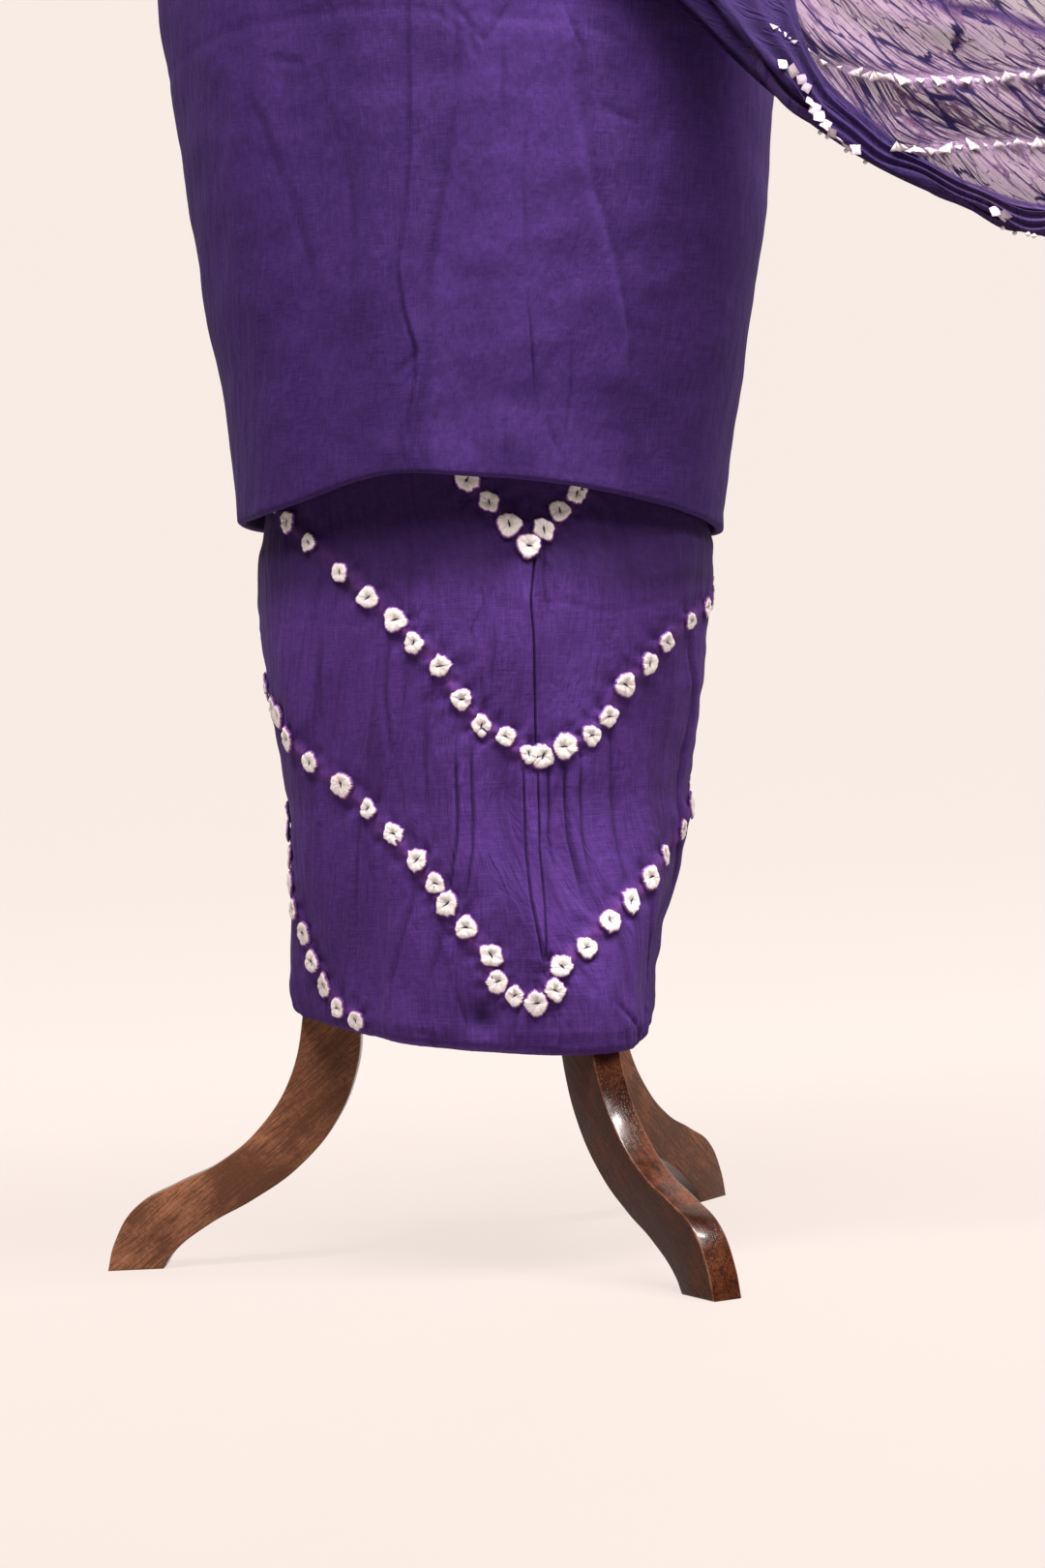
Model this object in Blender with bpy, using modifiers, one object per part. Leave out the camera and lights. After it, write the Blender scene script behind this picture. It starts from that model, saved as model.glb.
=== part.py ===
"""Three-piece unstitched suit set on a dress stand: a bandhani bottom cloth and a
plain top cloth wrapped round a foam dress form, and a pleated dupatta drawn over
the shoulder and off to the side. Metres, +Z up, the front faces -Y."""

from math import atan2, cos, pi, radians, sin

import bmesh
import bpy
import numpy as np

# Driving sizes
TOE_REACH = 0.270
LEG_THICKNESS = 0.020
LEG_AZIMUTHS = {"leg_left": 177.6, "leg_front": -62.4, "leg_back": 57.6}
HUB_RADIUS = 0.040
HUB_BOTTOM = 0.222
FORM_BOTTOM = 0.300
NECK_TOP = 1.450
SEAT_GAP = 0.0003
COTTON = 0.0016
CHIFFON = 0.0012

# Columns of a wrapped cloth: how many to a full turn, and where the lap starts.
# Those of the bottom cloth lie closer on the left of the front, where the chevrons meet.
TURN_COLUMNS = 44
LAP_COLUMNS = 3
FRONT_AZIMUTH = radians(-77.5)
FRONT_COLUMN = 25
LEFT_STEP = pi / FRONT_COLUMN
RIGHT_STEP = pi / (TURN_COLUMNS - FRONT_COLUMN)
COLUMN_STEP = 2 * pi / TURN_COLUMNS
TOP_START = radians(-301.5)
LAP_LIFT = 0.0042
LAP_EASE_COLUMNS = 4

# Elliptical sections: height, centre x, half width, half depth
FORM_SECTIONS = (
    (0.300, -0.003, 0.121, 0.101),
    (0.380, -0.001, 0.133, 0.108),
    (0.460, 0.001, 0.136, 0.108),
    (0.550, 0.004, 0.140, 0.110),
    (0.620, 0.006, 0.153, 0.118),
    (0.670, 0.008, 0.166, 0.122),
    (0.740, 0.010, 0.182, 0.128),
    (0.820, 0.010, 0.191, 0.131),
    (0.900, 0.010, 0.188, 0.129),
    (1.000, 0.010, 0.155, 0.113),
    (1.070, 0.010, 0.135, 0.102),
    (1.140, 0.010, 0.140, 0.108),
    (1.220, 0.010, 0.156, 0.121),
    (1.290, 0.010, 0.161, 0.116),
    (1.340, 0.010, 0.167, 0.096),
    (1.375, 0.010, 0.158, 0.080),
    (1.398, 0.010, 0.116, 0.066),
    (1.412, 0.010, 0.072, 0.057),
    (1.424, 0.010, 0.054, 0.053),
    (1.450, 0.010, 0.052, 0.052),
)
BOTTOM_SECTIONS = (
    (0.300, -0.003, 0.132, 0.113),
    (0.340, -0.002, 0.138, 0.116),
    (0.400, 0.000, 0.146, 0.119),
    (0.455, 0.002, 0.1495, 0.118),
    (0.490, 0.002, 0.1435, 0.114),
    (0.550, 0.004, 0.1475, 0.116),
    (0.610, 0.006, 0.157, 0.122),
    (0.660, 0.008, 0.1659, 0.1232),
)
TOP_SECTIONS = (
    (0.480, 0.000, 0.160, 0.133),
    (0.540, 0.003, 0.166, 0.134),
    (0.580, 0.006, 0.172, 0.136),
    (0.620, 0.006, 0.179, 0.138),
    (0.660, 0.009, 0.185, 0.140),
    (0.740, 0.010, 0.194, 0.143),
    (0.820, 0.010, 0.202, 0.144),
    (0.900, 0.010, 0.199, 0.141),
    (1.000, 0.010, 0.168, 0.126),
    (1.070, 0.010, 0.149, 0.116),
    (1.140, 0.010, 0.152, 0.120),
    (1.220, 0.010, 0.163, 0.128),
    (1.285, 0.010, 0.1625, 0.1187),
)

# Hem of the top cloth round the form: azimuth in degrees, height
TOP_HEM = (
    (-180, 0.487),
    (-135, 0.488),
    (-112, 0.504),
    (-90, 0.500),
    (-65, 0.493),
    (-35, 0.480),
    (0, 0.467),
    (45, 0.474),
    (90, 0.480),
    (135, 0.484),
    (180, 0.487),
)
# Lower rim of the bottom cloth round the stand: azimuth in degrees, height
BOTTOM_RIM = (
    (-182, 0.165),
    (-165, 0.158),
    (-140, 0.151),
    (-110, 0.144),
    (-62, 0.138),
    (-30, 0.141),
    (20, 0.143),
    (57, 0.147),
    (110, 0.144),
    (150, 0.150),
    (178, 0.165),
)
# Round each leg the cloth follows an upright cylinder: distance of its axis, radius
LEG_WRAPS = {
    "leg_left": (0.1068, 0.0320),
    "leg_front": (0.1100, 0.0338),
    "leg_back": (0.1085, 0.0328),
}
RIM_OVAL = (-0.008, 0.104, 0.112)
RIM_HEIGHT = 0.165
RIM_CURL = 0.013
RIM_STRAIGHT = 0.006
RIM_MARGIN = 0.004
RIM_ROWS = 4
LEG_CLEAR = radians(13)
LEG_EASE = radians(12)
SUPPORT_STEP = 2.0
SUPPORT_SPREAD = 80

# Rows of the chevron lattice: height runs towards ROW_LIMIT by ROW_SHRINK a row
ROW_START = 0.1445
ROW_LIMIT = 1.068
ROW_SHRINK = 0.02056
LATTICE_ROWS = 25
HIDDEN_ROWS = (0.560, 0.610, 0.660)
CHEVRON_APEX_ROWS = (21, 11, 2, -8)
DOT_RISE = 0.0028

# Folds: azimuth at the top and at the foot in degrees, foot and top height,
# how far the fold stands out, and its half width in degrees
BOTTOM_FOLDS = (
    (-79, -78, 0.15, 0.48, 0.0050, 5),
    (-98, -100, 0.20, 0.36, 0.0030, 7),
    (-62, -60, 0.22, 0.40, 0.0035, 7),
    (-118, -128, 0.15, 0.27, 0.0030, 8),
    (-40, -36, 0.16, 0.34, 0.0035, 8),
    (-10, -4, 0.20, 0.46, 0.0015, 8),
    (-158, -150, 0.18, 0.44, 0.0025, 9),
    (30, 34, 0.16, 0.40, 0.0040, 9),
    (82, 78, 0.16, 0.46, 0.0040, 9),
    (160, 166, 0.18, 0.42, 0.0035, 9),
)
TOP_FOLDS = (
    (-116, -113, 0.48, 1.10, 0.0055, 7),
    (-104, -106, 0.50, 0.92, 0.0035, 6),
    (-90, -84, 0.49, 0.86, 0.0030, 6),
    (-76, -79, 0.50, 1.02, 0.0050, 7),
    (-66, -52, 0.52, 0.84, 0.0045, 7),
    (-30, -24, 0.50, 1.00, 0.0035, 9),
    (-150, -146, 0.52, 1.04, 0.0035, 10),
    (8, 10, 0.48, 0.96, 0.0040, 9),
    (42, 38, 0.48, 1.06, 0.0050, 9),
    (66, 64, 0.50, 1.12, 0.0040, 8),
    (88, 92, 0.48, 1.10, 0.0055, 8),
    (164, 160, 0.50, 1.06, 0.0045, 9),
)
TOP_WALL_ROWS = 17
HEM_TURNS = (45, 90, 135, 180)
HEM_ROLL = 0.0031
HEM_RETURN = 0.045

# Outline of a leg, as distance from the stand's axis and height
LEG_OUTER = (
    (0.085, 0.277),
    (0.117, 0.236),
    (0.130, 0.175),
    (0.142, 0.124),
    (0.163, 0.092),
    (0.193, 0.068),
    (0.223, 0.055),
    (0.250, 0.041),
    (0.265, 0.018),
)
LEG_INNER = (
    (0.226, 0.010),
    (0.201, 0.028),
    (0.171, 0.043),
    (0.140, 0.063),
    (0.113, 0.093),
    (0.098, 0.127),
    (0.091, 0.170),
    (0.073, 0.212),
)
FOOT_HEEL = 0.233
LEG_ROOT = (0.237, 0.285)

# Stations of the dupatta from its end at the back to its tied end: lower edge
# x y z, upper edge x y z, share of the height that the narrow folds take, and
# how far it hangs free of the form
DUPATTA_STATIONS = (
    ((-0.165, 0.130, 0.600), (-0.015, 0.160, 0.622), 1.00, 0.0),
    ((-0.160, 0.120, 0.780), (-0.015, 0.155, 0.790), 1.00, 0.0),
    ((-0.160, 0.110, 0.980), (-0.020, 0.150, 0.985), 1.00, 0.0),
    ((-0.162, 0.105, 1.190), (-0.034, 0.135, 1.190), 1.00, 0.0),
    ((-0.156, 0.065, 1.335), (-0.045, 0.080, 1.350), 1.00, 0.0),
    ((-0.142, 0.000, 1.372), (-0.050, 0.000, 1.418), 1.00, 0.0),
    ((-0.154, -0.060, 1.335), (-0.043, -0.080, 1.350), 1.00, 0.0),
    ((-0.142, -0.125, 1.195), (-0.010, -0.140, 1.235), 1.00, 0.0),
    ((-0.088, -0.135, 1.050), (0.052, -0.135, 1.108), 1.00, 0.0),
    ((-0.010, -0.135, 0.930), (0.122, -0.125, 1.000), 1.00, 0.0),
    ((0.072, -0.140, 0.842), (0.184, -0.105, 0.920), 1.00, 0.0),
    ((0.136, -0.135, 0.787), (0.226, -0.110, 0.856), 0.90, 0.1),
    ((0.196, -0.140, 0.725), (0.262, -0.130, 0.800), 0.55, 0.5),
    ((0.250, -0.145, 0.681), (0.300, -0.140, 0.776), 0.30, 0.9),
    ((0.306, -0.145, 0.651), (0.335, -0.140, 0.768), 0.20, 1.0),
    ((0.358, -0.140, 0.630), (0.366, -0.135, 0.756), 0.17, 1.0),
    ((0.407, -0.135, 0.636), (0.405, -0.130, 0.749), 0.20, 1.0),
    ((0.446, -0.130, 0.676), (0.445, -0.125, 0.743), 0.50, 1.0),
    ((0.472, -0.125, 0.716), (0.474, -0.125, 0.738), 1.00, 1.0),
    ((0.486, -0.125, 0.694), (0.504, -0.125, 0.706), 1.00, 1.0),
    ((0.490, -0.130, 0.615), (0.545, -0.125, 0.632), 1.00, 1.0),
)
STATION_STEPS = 2
PLEAT_EDGES = (0.00, 1.00, 0.05, 0.94, 0.10, 0.88)
PLEAT_PITCH = 0.0034
PLEAT_POINTS = 4
DUPATTA_CLEARANCE = 0.0085
SHOULDER_CLEARANCE = 0.0075
SHOULDER_HEIGHT = 1.300
SHOULDER_EASE = (1.270, 1.340)
SLOPE_EASE = (1.300, 1.370)
HEART_SHARE = 0.9
FAR_OUT = 0.400
REST_HALVINGS = 24


def smooth(edge_low, edge_high, value):
    """0 below edge_low, 1 above edge_high, and an eased rise between them."""
    share = np.clip((value - edge_low) / (edge_high - edge_low), 0.0, 1.0)
    return share * share * (3 - 2 * share)


def curve_at(rows, key):
    """The columns after the first, read at key on a smooth curve through the rows."""
    table = np.array(rows, float)
    keys, values = table[:, 0], table[:, 1:]
    slopes = np.gradient(values, keys, axis=0)
    key = min(max(key, keys[0]), keys[-1])
    i = min(int(np.searchsorted(keys, key, side="right")) - 1, len(keys) - 2)
    span = keys[i + 1] - keys[i]
    t = (key - keys[i]) / span
    rise = values[i + 1] - values[i]
    left, right = slopes[i] * span, slopes[i + 1] * span
    bend = t * (1 - t) * ((1 - t) * (left - rise) - t * (right - rise))
    return values[i] + t * rise + bend


def round_angle(angle):
    """The same direction, between -pi and pi."""
    return (angle + pi) % (2 * pi) - pi


def oval_radius(half_width, half_depth, azimuth):
    """Distance from the centre of an ellipse to its edge."""
    return 1 / np.hypot(cos(azimuth) / half_width, sin(azimuth) / half_depth)


def fold_rise(folds, azimuth, height):
    """How far the folds lift a cloth off its plain section."""
    rise = 0.0
    for top_deg, foot_deg, foot, top, depth, half_deg in folds:
        along = (height - foot) / (top - foot)
        centre = radians(foot_deg + (top_deg - foot_deg) * along)
        off = round_angle(azimuth - centre) / radians(half_deg)
        ends = smooth(foot - 0.03, foot + 0.04, height) * smooth(-top, -top + 0.08, -height)
        rise += depth * ends * np.exp(-off * off)
    return rise


def lap_rise(column):
    """The overlapping end of a wrapped cloth lies outside its start."""
    lap_start = TURN_COLUMNS - 1
    return LAP_LIFT * smooth(lap_start - LAP_EASE_COLUMNS, lap_start, column)


def new_material(name, colour, roughness, metallic=0.0):
    material = bpy.data.materials.new(name)
    material.use_nodes = True
    shader = material.node_tree.nodes["Principled BSDF"]
    shader.inputs["Base Color"].default_value = (*colour, 1)
    shader.inputs["Roughness"].default_value = roughness
    shader.inputs["Metallic"].default_value = metallic
    material.diffuse_color = (*colour, 1)
    return material


def new_object(name, data, material):
    made = bpy.data.objects.new(name, data)
    made.data.materials.append(material)
    parts.objects.link(made)
    made.parent = stand
    return made


def sheet_object(name, rows, thickness, material, peaks=()):
    """A cloth: an open grid of points, one list a row, thickened both ways. Peaks are
    the (row, column) places of raised points, which no face edge joins slantwise."""
    across = len(rows[0])
    points = [point for row in rows for point in row]
    faces = []
    for j in range(len(rows) - 1):
        for i in range(across - 1):
            a = j * across + i
            b, c, d = a + 1, a + across + 1, a + across
            if (j, i) in peaks and (j + 1, i + 1) in peaks:
                faces += [(a, b, d), (b, c, d)]
            elif (j, i + 1) in peaks and (j + 1, i) in peaks:
                faces += [(a, b, c), (a, c, d)]
            else:
                faces.append((a, b, c, d))
    mesh = bpy.data.meshes.new(name)
    mesh.from_pydata(points, [], faces)
    mesh.shade_smooth()
    cloth = new_object(name, mesh, material)
    wall = cloth.modifiers.new("thickness", "SOLIDIFY")
    wall.thickness = thickness
    wall.offset = 0.0
    return cloth


def clear_scene():
    for old in list(bpy.data.objects):
        bpy.data.objects.remove(old, do_unlink=True)


def leg_outline():
    """A flat closed curve in the plane of a leg, with straight edges at foot and root."""
    outline = bpy.data.curves.new("leg", "CURVE")
    outline.dimensions = "2D"
    outline.fill_mode = "BOTH"
    outline.extrude = LEG_THICKNESS / 2
    outline.resolution_u = 3
    root = HUB_RADIUS + SEAT_GAP
    corners = {
        "root_top": (root, LEG_ROOT[1]),
        "toe": (TOE_REACH, 0.0),
        "heel": (FOOT_HEEL, 0.0),
        "root_bottom": (root, LEG_ROOT[0]),
    }
    places = [corners["root_top"], *LEG_OUTER, corners["toe"]]
    places += [corners["heel"], *LEG_INNER, corners["root_bottom"]]
    spline = outline.splines.new("BEZIER")
    spline.bezier_points.add(len(places) - 1)
    spline.use_cyclic_u = True
    for point, place in zip(spline.bezier_points, places):
        point.co = (*place, 0)
        kind = "VECTOR" if place in corners.values() else "AUTO"
        point.handle_left_type = kind
        point.handle_right_type = kind
    return outline


def add_legs(material):
    """Three sawn planks on edge, one mesh shared by all of them."""
    outline = leg_outline()
    outline.materials.append(material)
    for name, azimuth in LEG_AZIMUTHS.items():
        leg = bpy.data.objects.new(name, outline)
        parts.objects.link(leg)
        leg.parent = stand
        leg.rotation_euler = (pi / 2, 0, radians(azimuth))


def add_turned(name, profile, centre_x, material, steps=24):
    """A turned piece: its outer side from top to bottom, spun about the upright axis."""
    mesh = bpy.data.meshes.new(name)
    points = [(radius, 0, height) for radius, height in profile]
    mesh.from_pydata(points, [(i, i + 1) for i in range(len(points) - 1)], [])
    turned = new_object(name, mesh, material)
    turned.location = (centre_x, 0, 0)
    screw = turned.modifiers.new("turn", "SCREW")
    screw.steps = steps
    screw.render_steps = steps
    screw.use_merge_vertices = True
    screw.merge_threshold = 0.00005
    screw.use_smooth_shade = True
    return turned


def add_hub(material):
    """The block that the legs are fixed round, with the form standing on it."""
    top = FORM_BOTTOM - SEAT_GAP
    edge = 0.004
    profile = (
        (0, top),
        (HUB_RADIUS - edge, top),
        (HUB_RADIUS, top - edge),
        (HUB_RADIUS, HUB_BOTTOM + edge),
        (HUB_RADIUS - edge, HUB_BOTTOM),
        (0, HUB_BOTTOM),
    )
    add_turned("base_hub", profile, 0, material)


def add_neck_cap(material):
    """The turned cap on the neck, with a flat top."""
    neck_x, neck_radius = FORM_SECTIONS[-1][1], FORM_SECTIONS[-1][2]
    foot = NECK_TOP + SEAT_GAP
    profile = (
        (0, foot + 0.034),
        (0.020, foot + 0.034),
        (0.026, foot + 0.029),
        (0.024, foot + 0.023),
        (0.036, foot + 0.018),
        (neck_radius + 0.003, foot + 0.010),
        (neck_radius + 0.004, foot + 0.003),
        (neck_radius + 0.001, foot),
        (0, foot),
    )
    add_turned("neck_cap", profile, neck_x, material)


def add_form(material, sides=28):
    """The foam dress form: oval sections joined from the hub to the neck."""
    shell = bmesh.new()
    rings = []
    for height, centre_x, half_width, half_depth in FORM_SECTIONS:
        ring = []
        for i in range(sides):
            turn = 2 * pi * i / sides
            place = (centre_x + half_width * cos(turn), half_depth * sin(turn), height)
            ring.append(shell.verts.new(place))
        rings.append(ring)
    for lower, upper in zip(rings, rings[1:]):
        for i in range(sides):
            k = (i + 1) % sides
            shell.faces.new((lower[i], lower[k], upper[k], upper[i]))
    shell.faces.new(rings[0][::-1])
    shell.faces.new(rings[-1])
    mesh = bpy.data.meshes.new("form_body")
    shell.to_mesh(mesh)
    shell.free()
    mesh.shade_smooth()
    mesh.set_sharp_from_angle(angle=radians(60))
    new_object("form_body", mesh, material)


def rim_support(direction):
    """Reach of the cloth in a direction where it is drawn round the three legs."""
    centre_x, half_width, half_depth = RIM_OVAL
    reach = np.hypot(half_width * np.cos(direction), half_depth * np.sin(direction))
    reach = reach + centre_x * np.cos(direction)
    for leg, (distance, radius) in LEG_WRAPS.items():
        lean = np.cos(direction - radians(LEG_AZIMUTHS[leg]))
        reach = np.maximum(reach, distance * lean + radius)
    return reach


def bottom_radius(azimuth, height):
    """Plain radius of the bottom cloth, easing from the oval form to the legs."""
    centre_x, half_width, half_depth = curve_at(BOTTOM_SECTIONS, height)
    if height >= FORM_BOTTOM:
        return centre_x, oval_radius(half_width, half_depth, azimuth)
    spread = np.arange(-SUPPORT_SPREAD, SUPPORT_SPREAD + 1, SUPPORT_STEP)
    directions = azimuth + np.radians(spread)
    oval = np.hypot(half_width * np.cos(directions), half_depth * np.sin(directions))
    oval = oval + centre_x * np.cos(directions)
    share = smooth(-FORM_BOTTOM, -RIM_HEIGHT, -height)
    reach = (1 - share) * oval + share * rim_support(directions)
    shifted = reach - centre_x * np.cos(directions)
    return centre_x, float((shifted / np.cos(directions - azimuth)).min())


def chevron_dots():
    """Lattice places of the tied dots: rows climb one for each column from the front."""
    dots = set()
    for apex in CHEVRON_APEX_ROWS:
        for column in range(TURN_COLUMNS + LAP_COLUMNS + 1):
            row = apex + abs(column - FRONT_COLUMN)
            if 2 <= row <= LATTICE_ROWS:
                dots.add((column, row))
    return dots


def add_bottom_cloth(material):
    """The bandhani cloth: wrapped once, lapped at the back, tucked in below."""
    dots = chevron_dots()
    peaks = set()
    lattice = [
        ROW_LIMIT - (ROW_LIMIT - ROW_START) * np.exp(-ROW_SHRINK * n)
        for n in range(1, LATTICE_ROWS + 1)
    ]
    heights = [*reversed(HIDDEN_ROWS), *reversed(lattice)]
    legs = [radians(azimuth) for azimuth in LEG_AZIMUTHS.values()]
    rows = [[] for _ in range(len(heights) + RIM_ROWS)]
    for column in range(TURN_COLUMNS + LAP_COLUMNS + 1):
        side_step = LEFT_STEP if column < FRONT_COLUMN else RIGHT_STEP
        azimuth = FRONT_AZIMUTH + (column - FRONT_COLUMN) * side_step
        degrees = (np.degrees(azimuth) + 182) % 360 - 182
        rim = float(curve_at(BOTTOM_RIM, degrees)[0])
        near = min(abs(round_angle(azimuth - leg)) for leg in legs)
        curl = smooth(LEG_CLEAR, LEG_CLEAR + LEG_EASE, near)
        lowest = rim + RIM_STRAIGHT + (RIM_CURL - RIM_STRAIGHT) * curl
        for j, height in enumerate(heights):
            low = smooth(-FORM_BOTTOM, -lattice[0], -height)
            place = height + (lowest + RIM_MARGIN - lattice[0]) * low
            centre_x, radius = bottom_radius(azimuth, place)
            radius += fold_rise(BOTTOM_FOLDS, azimuth, place) + lap_rise(column)
            row = LATTICE_ROWS - (j - len(HIDDEN_ROWS))
            if (column, row) in dots:
                radius += DOT_RISE
                peaks.add((j, column))
            rows[j].append(polar_point(centre_x, radius, azimuth, place))
        centre_x, radius = bottom_radius(azimuth, lowest)
        radius += lap_rise(column)
        for k in range(1, RIM_ROWS + 1):
            turn = pi * (k - 0.5) / RIM_ROWS
            inward = curl * RIM_CURL * (1 - cos(turn))
            curled = rim + RIM_CURL * (1 - sin(turn))
            plain = rim + RIM_STRAIGHT * (1 - k / RIM_ROWS)
            place = curled * curl + plain * (1 - curl)
            j = len(heights) + k - 1
            rows[j].append(polar_point(centre_x, radius - inward, azimuth, place))
    sheet_object("bottom_cloth", rows, COTTON, material, peaks)


def polar_point(centre_x, radius, azimuth, height):
    return (centre_x + radius * cos(azimuth), radius * sin(azimuth), float(height))


def add_top_cloth(material):
    """The plain cloth: wrapped from under the arms, its hem rolled and turned in."""
    top = TOP_SECTIONS[-1][0]
    rows = [[] for _ in range(TOP_WALL_ROWS + len(HEM_TURNS) + 1)]
    for column in range(TURN_COLUMNS + LAP_COLUMNS + 1):
        azimuth = TOP_START + column * COLUMN_STEP
        hem = float(curve_at(TOP_HEM, np.degrees(round_angle(azimuth)))[0])
        foot = hem + HEM_ROLL
        for j in range(TOP_WALL_ROWS):
            place = top + (foot - top) * j / (TOP_WALL_ROWS - 1)
            centre_x, half_width, half_depth = curve_at(TOP_SECTIONS, place)
            radius = oval_radius(half_width, half_depth, azimuth)
            radius += fold_rise(TOP_FOLDS, azimuth, place) + lap_rise(column)
            rows[j].append(polar_point(centre_x, radius, azimuth, place))
        for k, turn in enumerate(HEM_TURNS):
            inward = HEM_ROLL * (1 - cos(radians(turn)))
            place = foot - HEM_ROLL * sin(radians(turn))
            point = polar_point(centre_x, radius - inward, azimuth, place)
            rows[TOP_WALL_ROWS + k].append(point)
        point = polar_point(centre_x, radius - 2 * HEM_ROLL, azimuth, foot + HEM_RETURN)
        rows[-1].append(point)
    sheet_object("top_cloth", rows, COTTON, material)


def envelope(height):
    """Centre x, half width and half depth of the dressed form at a height."""
    if height <= TOP_SECTIONS[-1][0]:
        return curve_at(TOP_SECTIONS, height)
    table = np.array(FORM_SECTIONS)
    return [np.interp(height, table[:, 0], table[:, k]) for k in (1, 2, 3)]


def inside(point, clearance):
    """Whether a point lies nearer to the dressed form than the clearance."""
    x, y, z = point
    if z > NECK_TOP:
        return False
    drop = clearance * smooth(*SLOPE_EASE, z)
    centre_x, half_width, half_depth = envelope(z - drop)
    azimuth = atan2(y, x - centre_x)
    reach = oval_radius(half_width, half_depth, azimuth) + clearance
    if z <= TOP_SECTIONS[-1][0]:
        reach += fold_rise(TOP_FOLDS, azimuth, z)
    return np.hypot(x - centre_x, y) < reach


def outward(point):
    """A point well inside the form, and the direction from it to this point."""
    x, y, z = point
    height = min(z, SHOULDER_HEIGHT)
    centre_x, half_width, half_depth = envelope(height)
    spare = half_width - HEART_SHARE * half_depth
    heart = np.array([centre_x + np.clip(x - centre_x, -spare, spare), 0.0, height])
    away = np.array(point) - heart
    return heart, away / np.linalg.norm(away)


def resting(point):
    """The point itself, or the nearest place outwards that clears the dressed form."""
    lying = smooth(*SHOULDER_EASE, point[2])
    clearance = DUPATTA_CLEARANCE + (SHOULDER_CLEARANCE - DUPATTA_CLEARANCE) * lying
    heart, away = outward(point)
    if not inside(point, clearance):
        return np.array(point), away
    low, high = np.linalg.norm(np.array(point) - heart), FAR_OUT
    for _ in range(REST_HALVINGS):
        middle = (low + high) / 2
        if inside(heart + away * middle, clearance):
            low = middle
        else:
            high = middle
    return heart + away * high, away


def add_dupatta(material):
    """One long cloth in five pleats, opening into a swag and gathered at its end."""
    table = []
    for n, (low, up, strip, free) in enumerate(DUPATTA_STATIONS):
        table.append((n, *low, *up, strip, free))
    steps = (len(table) - 1) * STATION_STEPS
    toward_front = np.array([0.0, -1.0, 0.0])
    rows = []
    for step in range(steps + 1):
        values = curve_at(table, step / STATION_STEPS)
        low, up, strip, free = values[0:3], values[3:6], values[6], values[7]
        row = []
        for layer in range(len(PLEAT_EDGES) - 1):
            reach = 1.0 if layer < 2 else strip
            start, end = PLEAT_EDGES[layer], PLEAT_EDGES[layer + 1]
            for share in np.linspace(start, end, PLEAT_POINTS):
                across = share * reach
                base, away = resting(low + (up - low) * across)
                lift = (1 - free) * away + free * toward_front
                lift /= np.linalg.norm(lift)
                row.append(tuple(base + lift * PLEAT_PITCH * layer))
        rows.append(row)
    sheet_object("dupatta", rows, CHIFFON, material)


def stand_on_origin():
    """Moves the whole stand so that its box is centred on the origin, feet at zero."""
    bpy.context.view_layer.update()
    graph = bpy.context.evaluated_depsgraph_get()
    corners = []
    for made in parts.objects:
        if made.type == "EMPTY":
            continue
        shown = made.evaluated_get(graph)
        mesh = shown.to_mesh()
        corners += [shown.matrix_world @ vertex.co for vertex in mesh.vertices]
        shown.to_mesh_clear()
    box = np.array(corners)
    middle = (box.min(axis=0) + box.max(axis=0)) / 2
    stand.location = (-middle[0], -middle[1], -box[:, 2].min())


clear_scene()
parts = bpy.data.collections.new("unstitched_suit_on_dress_stand")
bpy.context.scene.collection.children.link(parts)
stand = bpy.data.objects.new("stand_axis", None)
parts.objects.link(stand)

walnut = new_material("walnut lacquer", (0.075, 0.030, 0.018), 0.30)
linen = new_material("form linen", (0.62, 0.56, 0.47), 0.85)
violet = new_material("plain violet cotton", (0.072, 0.036, 0.200), 0.80)
bandhani = new_material("bandhani purple cotton", (0.075, 0.025, 0.165), 0.80)
chiffon = new_material("violet chiffon", (0.150, 0.085, 0.300), 0.60)

add_legs(walnut)
add_hub(walnut)
add_neck_cap(walnut)
add_form(linen)
add_bottom_cloth(bandhani)
add_top_cloth(violet)
add_dupatta(chiffon)
stand_on_origin()
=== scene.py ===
"""A three-piece unstitched suit set on a dress stand: a plain top cloth and a tie-dyed
bottom cloth wrapped round a dress form, and a crinkled sheer dupatta drawn over the
shoulder and out to one side. Metres, +Z up, the front faces -Y."""

from math import atan2, cos, pi, radians, sin, tau

import bmesh
import bpy
import numpy as np
from mathutils import Matrix, Vector, noise


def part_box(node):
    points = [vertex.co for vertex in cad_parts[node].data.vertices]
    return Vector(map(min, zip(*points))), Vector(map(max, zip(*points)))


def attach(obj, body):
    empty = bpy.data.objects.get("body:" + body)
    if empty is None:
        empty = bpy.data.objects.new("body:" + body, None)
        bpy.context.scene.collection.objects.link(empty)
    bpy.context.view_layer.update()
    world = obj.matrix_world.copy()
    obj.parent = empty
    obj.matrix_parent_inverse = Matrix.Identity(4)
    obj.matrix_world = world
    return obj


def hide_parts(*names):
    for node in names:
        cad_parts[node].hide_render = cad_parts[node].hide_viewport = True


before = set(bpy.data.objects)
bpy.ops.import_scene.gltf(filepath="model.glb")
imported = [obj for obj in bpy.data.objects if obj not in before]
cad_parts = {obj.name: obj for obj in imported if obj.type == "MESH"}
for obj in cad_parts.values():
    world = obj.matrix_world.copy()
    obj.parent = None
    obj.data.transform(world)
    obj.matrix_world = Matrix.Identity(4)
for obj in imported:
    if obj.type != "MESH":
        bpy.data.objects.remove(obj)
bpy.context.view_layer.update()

# Walnut lacquer. The legs, the hub and the neck cap are one dark stained wood under a
# brushed lacquer: cloudy on the sawn sides, redder and glossier on the edges, with a
# highlight painted lighter along the arrises.


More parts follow.
